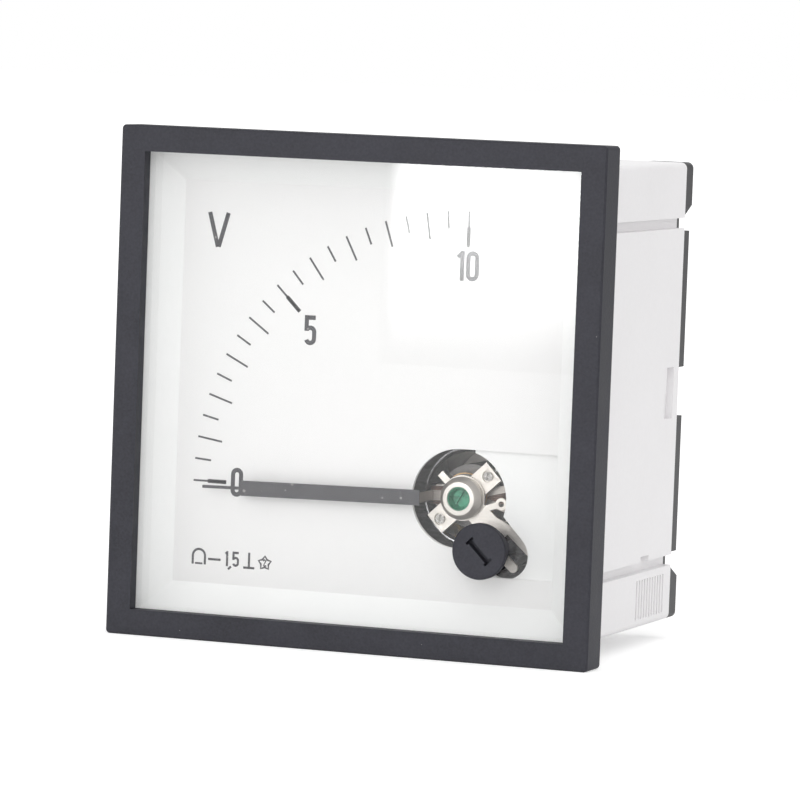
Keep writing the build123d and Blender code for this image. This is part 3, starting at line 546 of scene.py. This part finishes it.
@dataclass
class CadDress:
    """Finishes and softened edges for the nodes that come from the CAD model.

    Args:
        shop: The materials.
        edges: Rounding of the sharp edges of some nodes, in millimetres.
        smooth_angle: Angle in degrees under which neighbouring faces shade as one.
        sharp_angle: Angle in degrees over which an edge is rounded.
        steps: Steps in a rounded edge.
        join: Distance in millimetres under which corners are one.
    """

    shop: FinishShop
    edges: dict[str, float] = field(default_factory=lambda: {
        "bezel": 0.18, "case": 0.14, "zero_knob": 0.12, "rear_base": 0.2, "front_bridge": 0.08,
        "zero_lever": 0.06, "dial_mask": 0.1, "terminal_washers": 0.1, "base_screws": 0.1,
        "movement_carrier": 0.08, "yoke_ring": 0.1, "lever_collar": 0.06,
    })
    smooth_angle: float = 20.0
    sharp_angle: float = 40.0
    steps: int = 2
    join: float = 0.001

    def dress(self) -> None:
        """Gives each node its finish and its edges."""
        group = self._smooth_group()
        slots = {row["node"]: row["material_slot"] for row in frame["record"]["subparts"]}
        for name, node in frame["nodes"].items():
            node.data.materials.clear()
            node.data.materials.append(self.shop.materials[slots[name]])
            self._soften(node, group, self.edges.get(name))
            LOG.info("node %s takes %s", name, slots[name])

    def _soften(self, node: Item, group: bpy.types.GeometryNodeTree, width: float | None) -> None:
        """Joins a node's triangles, rounds its edges and shades it by angle.

        Args:
            node: The CAD node's object.
            group: Geometry group that sets the shading.
            width: Rounding in millimetres, or None for none.
        """
        weld = node.modifiers.new("weld", "WELD")
        weld.merge_threshold = self.join * MM
        if width:
            bevel = node.modifiers.new("edge", "BEVEL")
            bevel.width = width * MM
            bevel.segments = self.steps
            bevel.limit_method = "ANGLE"
            bevel.angle_limit = math.radians(self.sharp_angle)
        shade = node.modifiers.new("shade", "NODES")
        shade.node_group = group
        if width:
            node.modifiers.new("weight", "WEIGHTED_NORMAL").keep_sharp = True

    def _smooth_group(self) -> bpy.types.GeometryNodeTree:
        """Makes the geometry group that shades smooth up to an angle.

        Returns:
            The geometry node group.
        """
        tree = bpy.data.node_groups.new("shade_by_angle", "GeometryNodeTree")
        for way in ("INPUT", "OUTPUT"):
            tree.interface.new_socket(name="Geometry", in_out=way, socket_type="NodeSocketGeometry")
        start = tree.nodes.new("NodeGroupInput").outputs["Geometry"]
        inputs = {"Geometry": start, "Shade Smooth": True}
        faces = add_node(tree, "GeometryNodeSetShadeSmooth", inputs, domain="FACE").outputs["Geometry"]
        angle = tree.nodes.new("GeometryNodeInputMeshEdgeAngle").outputs["Unsigned Angle"]
        limits = {"A": angle, "B": math.radians(self.smooth_angle)}
        sharp = add_node(tree, "FunctionNodeCompare", limits, operation="GREATER_THAN").outputs["Result"]
        inputs = {"Geometry": faces, "Selection": sharp, "Shade Smooth": False}
        edges = add_node(tree, "GeometryNodeSetShadeSmooth", inputs, domain="EDGE").outputs["Geometry"]
        feed(tree.nodes.new("NodeGroupOutput"), {"Geometry": edges})
        return tree


@dataclass
class DialPrint:
    """Scale, numbers and symbols printed on the dial, sizes in millimetres.

    Args:
        maker: Piece maker.
        centre: Scale centre, on the pointer's axis.
        reach: Outer end of the scale marks.
        sweep: Angle of the scale, in degrees.
        divisions: Number of divisions.
        main_step: Divisions from one numbered mark to the next.
        long_step: Divisions from one longer mark to the next.
        short_mark: Length of the short marks.
        long_mark: Length of the longer marks.
        main_mark: Length of the numbered marks.
        bold_part: Length of the bold inner part of a numbered mark.
        thin: Width of a mark.
        bold: Width of the bold part.
        ink: Thickness of the print.
        pen: Width of the pen for the numbers.
        small_pen: Width of the pen for the symbols.
        slot: Material slot of the print.
        figures: Figures with the left, right, lower and upper edge of each.
        row_foot: Lower edge of the row of symbols.
        row_top: Upper edge of the row of symbols.
        coil_sign: Left and right side of the moving-coil sign.
        coil_bar: Gaps of its bar from the sides and from the foot.
        dash_sign: Left and right end of the direct current sign.
        dash_rise: Height of that sign over the foot.
        one_sign: Left and right edge of the class number's first figure.
        five_sign: Left and right edge of its second figure.
        comma: Width and depth of its comma.
        upright_sign: Left and right end of the foot of the sign of upright use.
        star_middle: Middle of the test star.
        star_reach: Reach of its points.
        star_waist: Share of that reach at its inner corners.
        star_points: Number of its points.
        two: Points of the small two in it, as shares of its reach.
        fine_pens: Width of the pen for the coil sign's bar, the star and the two, as shares.
        one_drop: Drop of a one's flag, as a share of its width.
        vee_foot: Half gap and half width of a V's foot, as shares of the pen.
        five_crown: Height of a five's bowl, as a share of the figure.
        five_stem: End of its stem under that height, as a share of the bowl's radius.
        five_bowl: First and last angle of its bowl.
        arc_steps: Steps in an arc.
        pen_steps: Steps in the rounding of a stroke.
        join: Distance under which corners are one.
        face: Depth of the dial's face, from the frame.
    """

    maker: PieceMaker
    centre: Point = (14.2, -14.0)
    reach: float = 40.0
    sweep: float = 90.0
    divisions: int = 20
    main_step: int = 10
    long_step: int = 2
    short_mark: float = 2.45
    long_mark: float = 3.7
    main_mark: float = 5.0
    bold_part: float = 2.8
    thin: float = 0.27
    bold: float = 0.56
    ink: float = 0.02
    pen: float = 0.63
    small_pen: float = 0.33
    slot: str = "pointer_paint"
    figures: tuple[tuple[Sign, Box], ...] = (
        (Sign.LETTER_V, (-25.0, -21.55, 19.2, 24.05)),
        (Sign.FIVE, (-9.75, -7.95, 6.1, 10.3)),
        (Sign.ONE, (12.4, 13.72, 16.3, 20.5)),
        (Sign.ZERO, (13.98, 15.9, 16.3, 20.5)),
        (Sign.ZERO, (-20.1, -18.25, -15.95, -11.85)),
    )
    row_foot: float = -25.9
    row_top: float = -23.75
    coil_sign: Pair = (-25.52, -23.65)
    coil_bar: Pair = (0.36, 0.12)
    dash_sign: Pair = (-23.17, -21.25)
    dash_rise: float = 0.83
    one_sign: Pair = (-20.68, -20.09)
    five_sign: Pair = (-19.46, -18.42)
    comma: Pair = (0.44, 0.42)
    upright_sign: Pair = (-17.75, -16.06)
    star_middle: Point = (-14.5, -25.06)
    star_reach: float = 0.99
    star_waist: float = 0.6
    star_points: int = 5
    two: tuple[Point, ...] = (
        (-0.25, 0.31), (-0.05, 0.47), (0.16, 0.31), (-0.18, -0.38), (0.25, -0.38),
    )
    fine_pens: Triple = (0.8, 0.85, 0.7)
    one_drop: float = 0.9
    vee_foot: Pair = (0.1, 0.62)
    five_crown: float = 0.6
    five_stem: float = 0.8
    five_bowl: Pair = (145.0, -165.0)
    arc_steps: int = 12
    pen_steps: int = 2
    join: float = 0.002
    face: float = field(init=False, default=0.0)

    def build(self) -> None:
        """Makes the marks, the numbers and the symbols."""
        self.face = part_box("dial_plate")[0].y / MM
        self._marks()
        numbers = [mesh for sign, box in self.figures for mesh in self._sign(sign, box, self.pen)]
        self._join(numbers, "scale_numbers")
        self._symbols()

    def _bar(self, shape: Shape, angle: float, inner: float, outer: float, width: float) -> None:
        """Adds one radial bar of print.

        Args:
            shape: Mesh to add to.
            angle: Direction from the scale centre, degrees from +X.
            inner: Inner end.
            outer: Outer end.
            width: Width of the bar.
        """
        middle = Matrix.Translation(((inner + outer) / 2, 0, 0))
        size = Matrix.Diagonal((outer - inner, self.ink, width, 1))
        turn = Matrix.Rotation(-math.radians(angle), 4, "Y")
        centre = Matrix.Translation((self.centre[0], self.face - self.ink / 2, self.centre[1]))
        bmesh.ops.create_cube(shape, size=1.0, matrix=centre @ turn @ middle @ size)

    def _marks(self) -> None:
        """Makes the marks of the quarter-circle scale."""
        shape = bmesh.new()
        for index in range(self.divisions + 1):
            angle = 180 - self.sweep * index / self.divisions
            if index % self.main_step == 0:
                inner = self.reach - self.main_mark
                self._bar(shape, angle, inner, self.reach, self.thin)
                self._bar(shape, angle, inner, inner + self.bold_part, self.bold)
                continue
            length = self.long_mark if index % self.long_step == 0 else self.short_mark
            self._bar(shape, angle, self.reach - length, self.reach, self.thin)
        self.maker.finish(shape, "scale_marks", self.slot)

    def _arc(self, middle: Point, radius: float, start: float, end: float) -> list[Point]:
        """Gives points along an arc.

        Args:
            middle: Middle of the arc.
            radius: Its radius.
            start: First angle in degrees from +X.
            end: Last angle.

        Returns:
            The points.
        """
        parts = [step / self.arc_steps for step in range(self.arc_steps + 1)]
        turns = [math.radians(start + (end - start) * part) for part in parts]
        x, z = middle
        return [(x + radius * math.cos(turn), z + radius * math.sin(turn)) for turn in turns]

    def _lines(self, sign: Sign, wide: float, tall: float, pen: float) -> list[list[Point]]:
        """Gives the pen strokes of one figure or letter from its lower left corner.

        Args:
            sign: Figure or letter.
            wide: Width between the middles of its outer strokes.
            tall: Height between the middles of its outer strokes.
            pen: Width of the pen.

        Returns:
            A list of points for each stroke.
        """
        half = wide / 2
        end = pen / 2
        if sign is Sign.ZERO:
            top = self._arc((half, tall - half), half, 0, 180)
            foot = self._arc((half, half), half, 180, 360)
            return [top + foot + top[:2]]
        if sign is Sign.ONE:
            return [[(wide, -end), (wide, tall + end)], [(wide, tall), (0, tall - self.one_drop * wide)]]
        if sign is Sign.LETTER_V:
            gap, flat = (share * pen for share in self.vee_foot)
            left = [(0, tall + end), (half - gap, -end)]
            right = [(wide, tall + end), (half + gap, -end)]
            return [left, right, [(half - flat, 0), (half + flat, 0)]]
        crown = self.five_crown * tall
        first, last = self.five_bowl
        bowl = self._arc((half, crown - half), half, first, 0) + self._arc((half, half), half, 0, last)
        stem = [(0, tall + end), (0, crown - self.five_stem * half)]
        return [[(0, tall), (wide + end / 2, tall)], stem, bowl]

    def _sign(self, sign: Sign, box: Box, pen: float) -> list[Mesh]:
        """Writes one figure or letter that fills a box on the dial.

        Args:
            sign: Figure or letter.
            box: Left, right, lower and upper edge.
            pen: Width of the pen.

        Returns:
            The meshes of its strokes, in place.
        """
        left, right, low, high = box
        lines = self._lines(sign, right - left - pen, high - low - pen, pen)
        across, up = left + pen / 2, low + pen / 2
        return [self._stroke([(across + x, up + z) for x, z in line], pen) for line in lines]

    def _join(self, meshes: list[Mesh], name: str) -> None:
        """Joins printed meshes into one piece.

        Args:
            meshes: Meshes in place.
            name: Name of the piece.
        """
        shape = bmesh.new()
        for mesh in meshes:
            shape.from_mesh(mesh)
            bpy.data.meshes.remove(mesh)
        bmesh.ops.remove_doubles(shape, verts=shape.verts, dist=self.join)
        self.maker.finish(shape, name, self.slot)

    def _stroke(self, points: list[Point], width: float, closed: bool = False) -> Mesh:
        """Draws one pen stroke of print through points.

        Args:
            points: Points on the dial.
            width: Width of the stroke.
            closed: Whether the stroke closes on itself.

        Returns:
            The mesh, in place.
        """
        curve = bpy.data.curves.new("print_stroke", "CURVE")
        curve.dimensions = "3D"
        curve.bevel_depth = width / 2
        curve.bevel_resolution = self.pen_steps
        curve.use_fill_caps = True
        line = curve.splines.new("POLY")
        line.points.add(len(points) - 1)
        line.use_cyclic_u = closed
        for spot, (x, z) in zip(line.points, points):
            spot.co = (x, 0, z, 1)
        holder = add_object("print_stroke", curve)
        bpy.context.view_layer.update()
        solid = holder.evaluated_get(bpy.context.evaluated_depsgraph_get())
        mesh = bpy.data.meshes.new_from_object(solid)
        bpy.data.objects.remove(holder)
        bpy.data.curves.remove(curve)
        flat = Matrix.Diagonal((1, self.ink / width, 1, 1))
        face = Matrix.Translation((0, self.face - self.ink / 4, 0))
        mesh.transform(face @ flat)
        return mesh

    def _symbols(self) -> None:
        """Makes the row of instrument symbols and the class number."""
        dash = [(side, self.row_foot + self.dash_rise) for side in self.dash_sign]
        span = (self.row_foot, self.row_top)
        tail = self.five_sign[0] - self.small_pen / 2
        comma = [(tail, self.row_foot), (tail - self.comma[0], self.row_foot - self.comma[1])]
        left, right = self.upright_sign
        middle = (left + right) / 2
        foot = [(left, self.row_foot), (right, self.row_foot)]
        stem = [(middle, self.row_foot), (middle, self.row_top)]
        meshes = [
            *self._coil_symbol(),
            self._stroke(dash, self.small_pen),
            *self._sign(Sign.ONE, (*self.one_sign, *span), self.small_pen),
            *self._sign(Sign.FIVE, (*self.five_sign, *span), self.small_pen),
            *[self._stroke(line, self.small_pen) for line in (comma, foot, stem)],
            *self._test_star(),
        ]
        self._join(meshes, "dial_symbols")

    def _coil_symbol(self) -> list[Mesh]:
        """Draws the sign of a moving-coil movement, an arch over a bar.

        Returns:
            The meshes of its strokes, in place.
        """
        left, right = self.coil_sign
        half = (right - left) / 2
        crown = self._arc((left + half, self.row_top - half), half, 180, 0)
        arch = [(left, self.row_foot), *crown, (right, self.row_foot)]
        inset, lift = self.coil_bar
        bar = [(left + inset, self.row_foot + lift), (right - inset, self.row_foot + lift)]
        return [self._stroke(arch, self.small_pen), self._stroke(bar, self.small_pen * self.fine_pens[0])]

    def _test_star(self) -> list[Mesh]:
        """Draws the test voltage star with a small two in it.

        Returns:
            The meshes of its strokes, in place.
        """
        star = []
        for step in range(2 * self.star_points):
            turn = math.radians(90 + 180 * step / self.star_points)
            share = 1.0 if step % 2 == 0 else self.star_waist
            star.append((share * math.cos(turn), share * math.sin(turn)))
        x, z = self.star_middle
        rim, two = ([(x + self.star_reach * across, z + self.star_reach * up) for across, up in line]
                    for line in (star, self.two))
        rim_pen, two_pen = (self.small_pen * share for share in self.fine_pens[1:])
        return [self._stroke(rim, rim_pen, closed=True), self._stroke(two, two_pen)]


@dataclass
class Terminals:
    """Threaded studs, chamfered nuts and polarity marks, sizes in millimetres.

    Args:
        maker: Piece maker.
        pitch: Thread pitch.
        depth: Thread depth.
        crest: Start and end of the thread's crest, as shares of the pitch.
        steps: Steps in one turn of the thread.
        spare_turns: Turns swept beyond each end, to be cut off.
        join: Distance under which corners are one.
        slack: Distance within which a corner counts as on the cut.
        ring_steps: Steps round a nut.
        face_share: Reach of a nut's flat face, as a share of its flats.
        chamfer_slope: Slope of a nut's chamfer.
        bore_play: Play of the stud in a nut.
        mark_long: Length of a mark's bar.
        mark_wide: Width of a mark's bar.
        mark_rise: Thickness of a mark.
        mark_edge: Rounding of a mark, which also sinks into the base.
        mark_steps: Steps in that rounding.
        mark_height: Height of the marks over the terminals.
        seat_height: Height of a terminal's seat over the base.
        radius: Radius of a stud, from the frame.
        reach: Distance of a stud from the middle, from the frame.
        front: Front end of a stud, from the frame.
        rear: Rear end of a stud, from the frame.
    """

    maker: PieceMaker
    pitch: float = 0.7
    depth: float = 0.36
    crest: Pair = (0.44, 0.56)
    steps: int = 24
    spare_turns: int = 2
    join: float = 0.002
    slack: float = 0.0001
    ring_steps: int = 48
    face_share: float = 0.98
    chamfer_slope: float = 0.5
    bore_play: float = 0.02
    mark_long: float = 3.0
    mark_wide: float = 0.7
    mark_rise: float = 0.55
    mark_edge: float = 0.1
    mark_steps: int = 2
    mark_height: float = 10.2
    seat_height: float = 1.8
    radius: float = field(init=False, default=0.0)
    reach: float = field(init=False, default=0.0)
    front: float = field(init=False, default=0.0)
    rear: float = field(init=False, default=0.0)

    def build(self) -> None:
        """Makes the studs, the nuts and the marks."""
        low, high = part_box("terminal_studs")
        self.radius = (high.z - low.z) / 2 / MM
        self.reach = high.x / MM - self.radius
        self.front, self.rear = low.y / MM, high.y / MM
        self._studs()
        self._nuts()
        self._marks()

    def _studs(self) -> None:
        """Sweeps the thread round each stud and cuts it off square."""
        shape = bmesh.new()
        for side in (-self.reach, self.reach):
            self._thread(shape, side)
        piece = self.maker.finish(shape, "threaded_studs", "brass")
        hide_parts("terminal_studs")

    def _thread(self, whole: Shape, side: float) -> None:
        """Adds one threaded rod.

        Args:
            whole: Mesh to add to.
            side: Place of the rod's axis along X.
        """
        shape = bmesh.new()
        start = self.front - self.spare_turns * self.pitch
        turns = math.ceil((self.rear - start) / self.pitch) + self.spare_turns
        root = self.radius - self.depth
        corners = ((0.0, root), (self.crest[0], self.radius), (self.crest[1], self.radius), (1.0, root))
        spots = [shape.verts.new((side + far, start + share * self.pitch, 0)) for share, far in corners]
        edges = [shape.edges.new(pair) for pair in zip(spots, spots[1:])]
        bmesh.ops.spin(
            shape, geom=spots + edges, cent=(side, 0, 0), axis=(0, 1, 0),
            dvec=(0, self.pitch / self.steps, 0), angle=turns * 2 * math.pi, steps=turns * self.steps,
        )
        bmesh.ops.remove_doubles(shape, verts=shape.verts, dist=self.join)
        for level, normal in ((self.front, (0, -1, 0)), (self.rear, (0, 1, 0))):
            geometry = shape.verts[:] + shape.edges[:] + shape.faces[:]
            cut = bmesh.ops.bisect_plane(shape, geom=geometry, dist=self.slack, plane_co=(0, level, 0),
                                         plane_no=normal, clear_outer=True)
            rim = [item for item in cut["geom_cut"] if isinstance(item, bmesh.types.BMEdge)]
            bmesh.ops.edgeloop_fill(shape, edges=rim)
        mesh = self.maker.mesh_from(shape, "stud")
        whole.from_mesh(mesh)
        bpy.data.meshes.remove(mesh)

    def _loop(self, shape: Shape, side: float, level: Callable[[float], float],
              reach: Callable[[float], float]) -> Edges:
        """Adds one loop of edges round a nut's axis.

        Args:
            shape: Mesh to add to.
            side: Place of the axis along X.
            level: Depth for a given reach.
            reach: Reach for a given angle.

        Returns:
            The loop's edges.
        """
        ring = bmesh.ops.create_circle(shape, segments=self.ring_steps, radius=1.0)["verts"]
        for spot in ring:
            angle = math.atan2(spot.co.y, spot.co.x)
            far = reach(angle)
            spot.co = (side + far * math.cos(angle), level(far), far * math.sin(angle))
        return list({edge for spot in ring for edge in spot.link_edges})

    def _nuts(self) -> None:
        """Makes hexagon nuts with chamfered corners."""
        low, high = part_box("terminal_nuts")
        wide, tall = (high.x - low.x) / MM - 2 * self.reach, (high.z - low.z) / MM
        flat = min(tall, wide) / 2
        front, rear = low.y / MM, high.y / MM
        shift = math.pi / 6 if tall > wide else 0.0
        bore = self.radius + self.bore_play
        rim = flat * self.face_share

        def hexagon(angle: float) -> float:
            """Reach of the hexagon at an angle."""
            part = (angle + shift) % (math.pi / 3) - math.pi / 6
            return flat / math.cos(part)

        shape = bmesh.new()
        for side in (-self.reach, self.reach):
            loops = [
                self._loop(shape, side, lambda far: front, lambda angle: bore),
                self._loop(shape, side, lambda far: front, lambda angle: rim),
                self._loop(shape, side, lambda far: front + (far - rim) * self.chamfer_slope, hexagon),
                self._loop(shape, side, lambda far: rear - (far - rim) * self.chamfer_slope, hexagon),
                self._loop(shape, side, lambda far: rear, lambda angle: rim),
                self._loop(shape, side, lambda far: rear, lambda angle: bore),
            ]
            for first, second in zip(loops, loops[1:] + loops[:1]):
                bmesh.ops.bridge_loops(shape, edges=first + second)
        piece = self.maker.finish(shape, "chamfered_nuts", "brass")
        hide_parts("terminal_nuts")

    def _marks(self) -> None:
        """Raises a plus and a minus on the base above the terminals."""
        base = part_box("terminal_washers")[0].y / MM - self.seat_height
        level = base + self.mark_rise / 2 - self.mark_edge
        shape = bmesh.new()
        for side, directions in ((self.reach, (0, 2)), (-self.reach, (0,))):
            self._raised_mark(shape, Vector((side, level, self.mark_height)), directions)
        bmesh.ops.bevel(shape, geom=shape.edges[:], offset=self.mark_edge, segments=self.mark_steps,
                        profile=0.5, affect="EDGES")
        self.maker.finish(shape, "polarity_marks", "base_plastic")

    def _raised_mark(self, shape: Shape, spot: Vector, directions: tuple[int, ...]) -> None:
        """Grows the bars of one mark out of a small block.

        Args:
            shape: Mesh to add to.
            spot: Middle of the mark.
            directions: Numbers of the axes along which the bars run.
        """
        size = Matrix.Diagonal((self.mark_wide, self.mark_rise, self.mark_wide, 1))
        block = bmesh.ops.create_cube(shape, size=1.0, matrix=Matrix.Translation(spot) @ size)
        faces = {face for corner in block["verts"] for face in corner.link_faces}
        shape.normal_update()
        grow = (self.mark_long - self.mark_wide) / 2
        for face in list(faces):
            along = face.normal.copy()
            if not any(abs(along[axis]) > 0.5 for axis in directions):
                continue
            moved = bmesh.ops.extrude_discrete_faces(shape, faces=[face])["faces"]
            corners = list({corner for part in moved for corner in part.verts})
            bmesh.ops.translate(shape, vec=along * grow, verts=corners)


@dataclass
class Studio:
    """Floor, soft light and camera, sizes in millimetres.

    Args:
        azimuth: Camera direction to the right of the front, in degrees.
        elevation: Camera height, in degrees.
        roll: Camera roll, in degrees.
        slide: Camera shift along its own axes.
        distance: Camera distance.
        lens: Focal length of the camera.
        sensor: Width of its sensor.
        ambient: Strength of the light from all round.
        key_power: Power of the lamp in front, in watts.
        key_size: Side of that lamp.
        key_spot: Place of that lamp.
        floor_half: Half the floor's side.
        floor_tone: Grey of the floor.
        floor_glow: Light that the floor adds where it is seen.
        matt: Roughness of the floor and of the dark panels.
        card: Left, right, lower and upper edge of the card that the pane reflects.
        card_reach: Distance of the card in front.
        card_rise: Height over which the card's light rises.
        card_side: Width over which it rises.
        card_power: Strength of the card.
        flags: Bearing in degrees and width of each dark panel behind.
        flag_reach: Distance of the panels.
        flag_height: Height of the panels.
        flag_tone: Colour of the panels.
    """

    azimuth: float = 20.595
    elevation: float = 4.178
    roll: float = 2.149
    slide: Pair = (4.855, -1.032)
    distance: float = 720.89
    lens: float = 232.34
    sensor: float = 36.0
    ambient: float = 1.02
    key_power: float = 2.2
    key_size: float = 700.0
    key_spot: Triple = (120.0, -950.0, 250.0)
    floor_half: float = 6000.0
    floor_tone: float = 0.82
    floor_glow: float = 0.42
    matt: float = 0.9
    card: Box = (-91.0, -19.5, -13.0, 123.0)
    card_reach: float = 250.0
    card_rise: float = 26.0
    card_side: float = 4.0
    card_power: float = 7.5
    flags: tuple[Pair, ...] = ((118.0, 190.0), (162.0, 120.0), (215.0, 150.0), (248.0, 190.0))
    flag_reach: float = 520.0
    flag_height: float = 700.0
    flag_tone: Colour = (0.02, 0.02, 0.022)

    def build(self) -> None:
        """Sets up the whole studio."""
        self._camera()
        self._world()
        self._floor()
        self._soft_box()
        self._flags()
        self._key()
        bpy.context.scene.view_settings.view_transform = "Standard"

    def _camera(self) -> None:
        """Places the camera at the photograph's angle."""
        turn, lift, tilt = (math.radians(angle) for angle in (self.azimuth, self.elevation, self.roll))
        back = Vector((math.sin(turn) * math.cos(lift), -math.cos(turn) * math.cos(lift), math.sin(lift)))
        level = Vector((math.cos(turn), math.sin(turn), 0))
        upright = back.cross(level)
        right = math.cos(tilt) * level + math.sin(tilt) * upright
        up = -math.sin(tilt) * level + math.cos(tilt) * upright
        spot = (right * self.slide[0] + up * self.slide[1] + back * self.distance) * MM
        data = bpy.data.cameras.new("camera")
        data.sensor_fit = "HORIZONTAL"
        data.sensor_width = self.sensor
        data.lens = self.lens
        camera = add_object("camera", data)
        axes = Matrix((right, up, back)).transposed().to_4x4()
        camera.matrix_world = Matrix.Translation(spot) @ axes
        bpy.context.scene.camera = camera

    def _world(self) -> None:
        """Lights the object evenly in front of a white background."""
        world = bpy.data.worlds.new("studio")
        world.use_nodes = True
        bpy.context.scene.world = world
        tree = world.node_tree
        strength = map_range(tree, seen_rays(tree), (0.0, 1.0), (self.ambient, 1.0))
        feed(tree.nodes["Background"], {"Color": WHITE, "Strength": strength})

    def _floor(self) -> None:
        """Lays a pale floor under the object."""
        shape = bmesh.new()
        bmesh.ops.create_grid(shape, x_segments=2, y_segments=2, size=self.floor_half * MM)
        bmesh.ops.translate(shape, vec=(0, 0, cad_bounds[0][2]), verts=shape.verts)
        floor = add_object("floor", PieceMaker.mesh_from(shape, "floor"))
        material, shader = new_material("pale_floor")
        tree = material.node_tree
        feed(shader, {
            "Base Color": (*[self.floor_tone] * 3, 1.0),
            "Roughness": self.matt,
            "Specular IOR Level": 0.0,
            "Emission Color": WHITE,
            "Emission Strength": combine(tree, "MULTIPLY", seen_rays(tree), self.floor_glow),
        })
        floor.data.materials.append(material)

    @staticmethod
    def _standing_card(name: str, width: float, height: float, place: Matrix) -> Item:
        """Stands a flat card upright.

        Args:
            name: Name of the card.
            width: Its width.
            height: Its height.
            place: Its place and turn.

        Returns:
            The card.
        """
        shape = bmesh.new()
        bmesh.ops.create_grid(shape, x_segments=1, y_segments=1, size=0.5)
        size = Matrix.Diagonal((width, height, 1, 1))
        stand = Matrix.Rotation(math.radians(90), 4, "X")
        bmesh.ops.transform(shape, matrix=Matrix.Scale(MM, 4) @ place @ stand @ size, verts=shape.verts)
        return add_object(name, PieceMaker.mesh_from(shape, name))

    def _soft_box(self) -> None:
        """Stands a bright card where the pane reflects it."""
        left, right, low, high = self.card
        place = Matrix.Translation(((left + right) / 2, -self.card_reach, (low + high) / 2))
        card = self._standing_card("soft_box", right - left, high - low, place)
        material, shader = new_material("soft_box")
        tree = material.node_tree
        tree.nodes.remove(shader)
        spot = tree.nodes.new("ShaderNodeTexCoord").outputs["Object"]
        split = add_node(tree, "ShaderNodeSeparateXYZ", {"Vector": spot}).outputs
        fades = (split["Z"], low, self.card_rise), (split["X"], left, self.card_side)
        rise, side = (map_range(tree, value, (start * MM, (start + length) * MM), (0.0, 1.0), "SMOOTHSTEP")
                      for value, start, length in fades)
        glow = map_range(tree, combine(tree, "MULTIPLY", rise, side), (0.0, 1.0), (1.0, self.card_power))
        emit = add_node(tree, "ShaderNodeEmission", {"Strength": glow}).outputs["Emission"]
        feed(tree.nodes["Material Output"], {"Surface": emit})
        card.data.materials.append(material)
        card.visible_diffuse = False

    def _flags(self) -> None:
        """Stands dark panels behind the object, to give bare metal there its shape."""
        material, shader = new_material("dark_flag")
        feed(shader, {"Base Color": (*self.flag_tone, 1.0), "Roughness": self.matt})
        for number, (bearing, width) in enumerate(self.flags):
            turn = Matrix.Rotation(math.radians(bearing), 4, "Z")
            reach = Matrix.Translation((0, -self.flag_reach, 0))
            flag = self._standing_card(f"dark_flag_{number}", width, self.flag_height, turn @ reach)
            flag.data.materials.append(material)
            for ray in ("camera", "diffuse", "transmission", "shadow"):
                setattr(flag, f"visible_{ray}", False)

    def _key(self) -> None:
        """Adds one large soft lamp in front of the dial."""
        data = bpy.data.lights.new("key", "AREA")
        data.energy = self.key_power
        data.size = self.key_size * MM
        lamp = add_object("key", data)
        spot = Vector(self.key_spot) * MM
        lamp.location = spot
        lamp.visible_glossy = False
        lamp.rotation_euler = (-spot).to_track_quat("-Z", "Y").to_euler()


def main() -> None:
    """Builds the dressed meter and its studio."""
    logging.basicConfig(level=logging.INFO, format="%(name)s: %(message)s")
    shop = FinishShop(EffectGroups())
    maker = PieceMaker(shop)
    CadDress(shop).dress()
    DialPrint(maker).build()
    Terminals(maker).build()
    Studio().build()


if __name__ == "__main__":
    main()
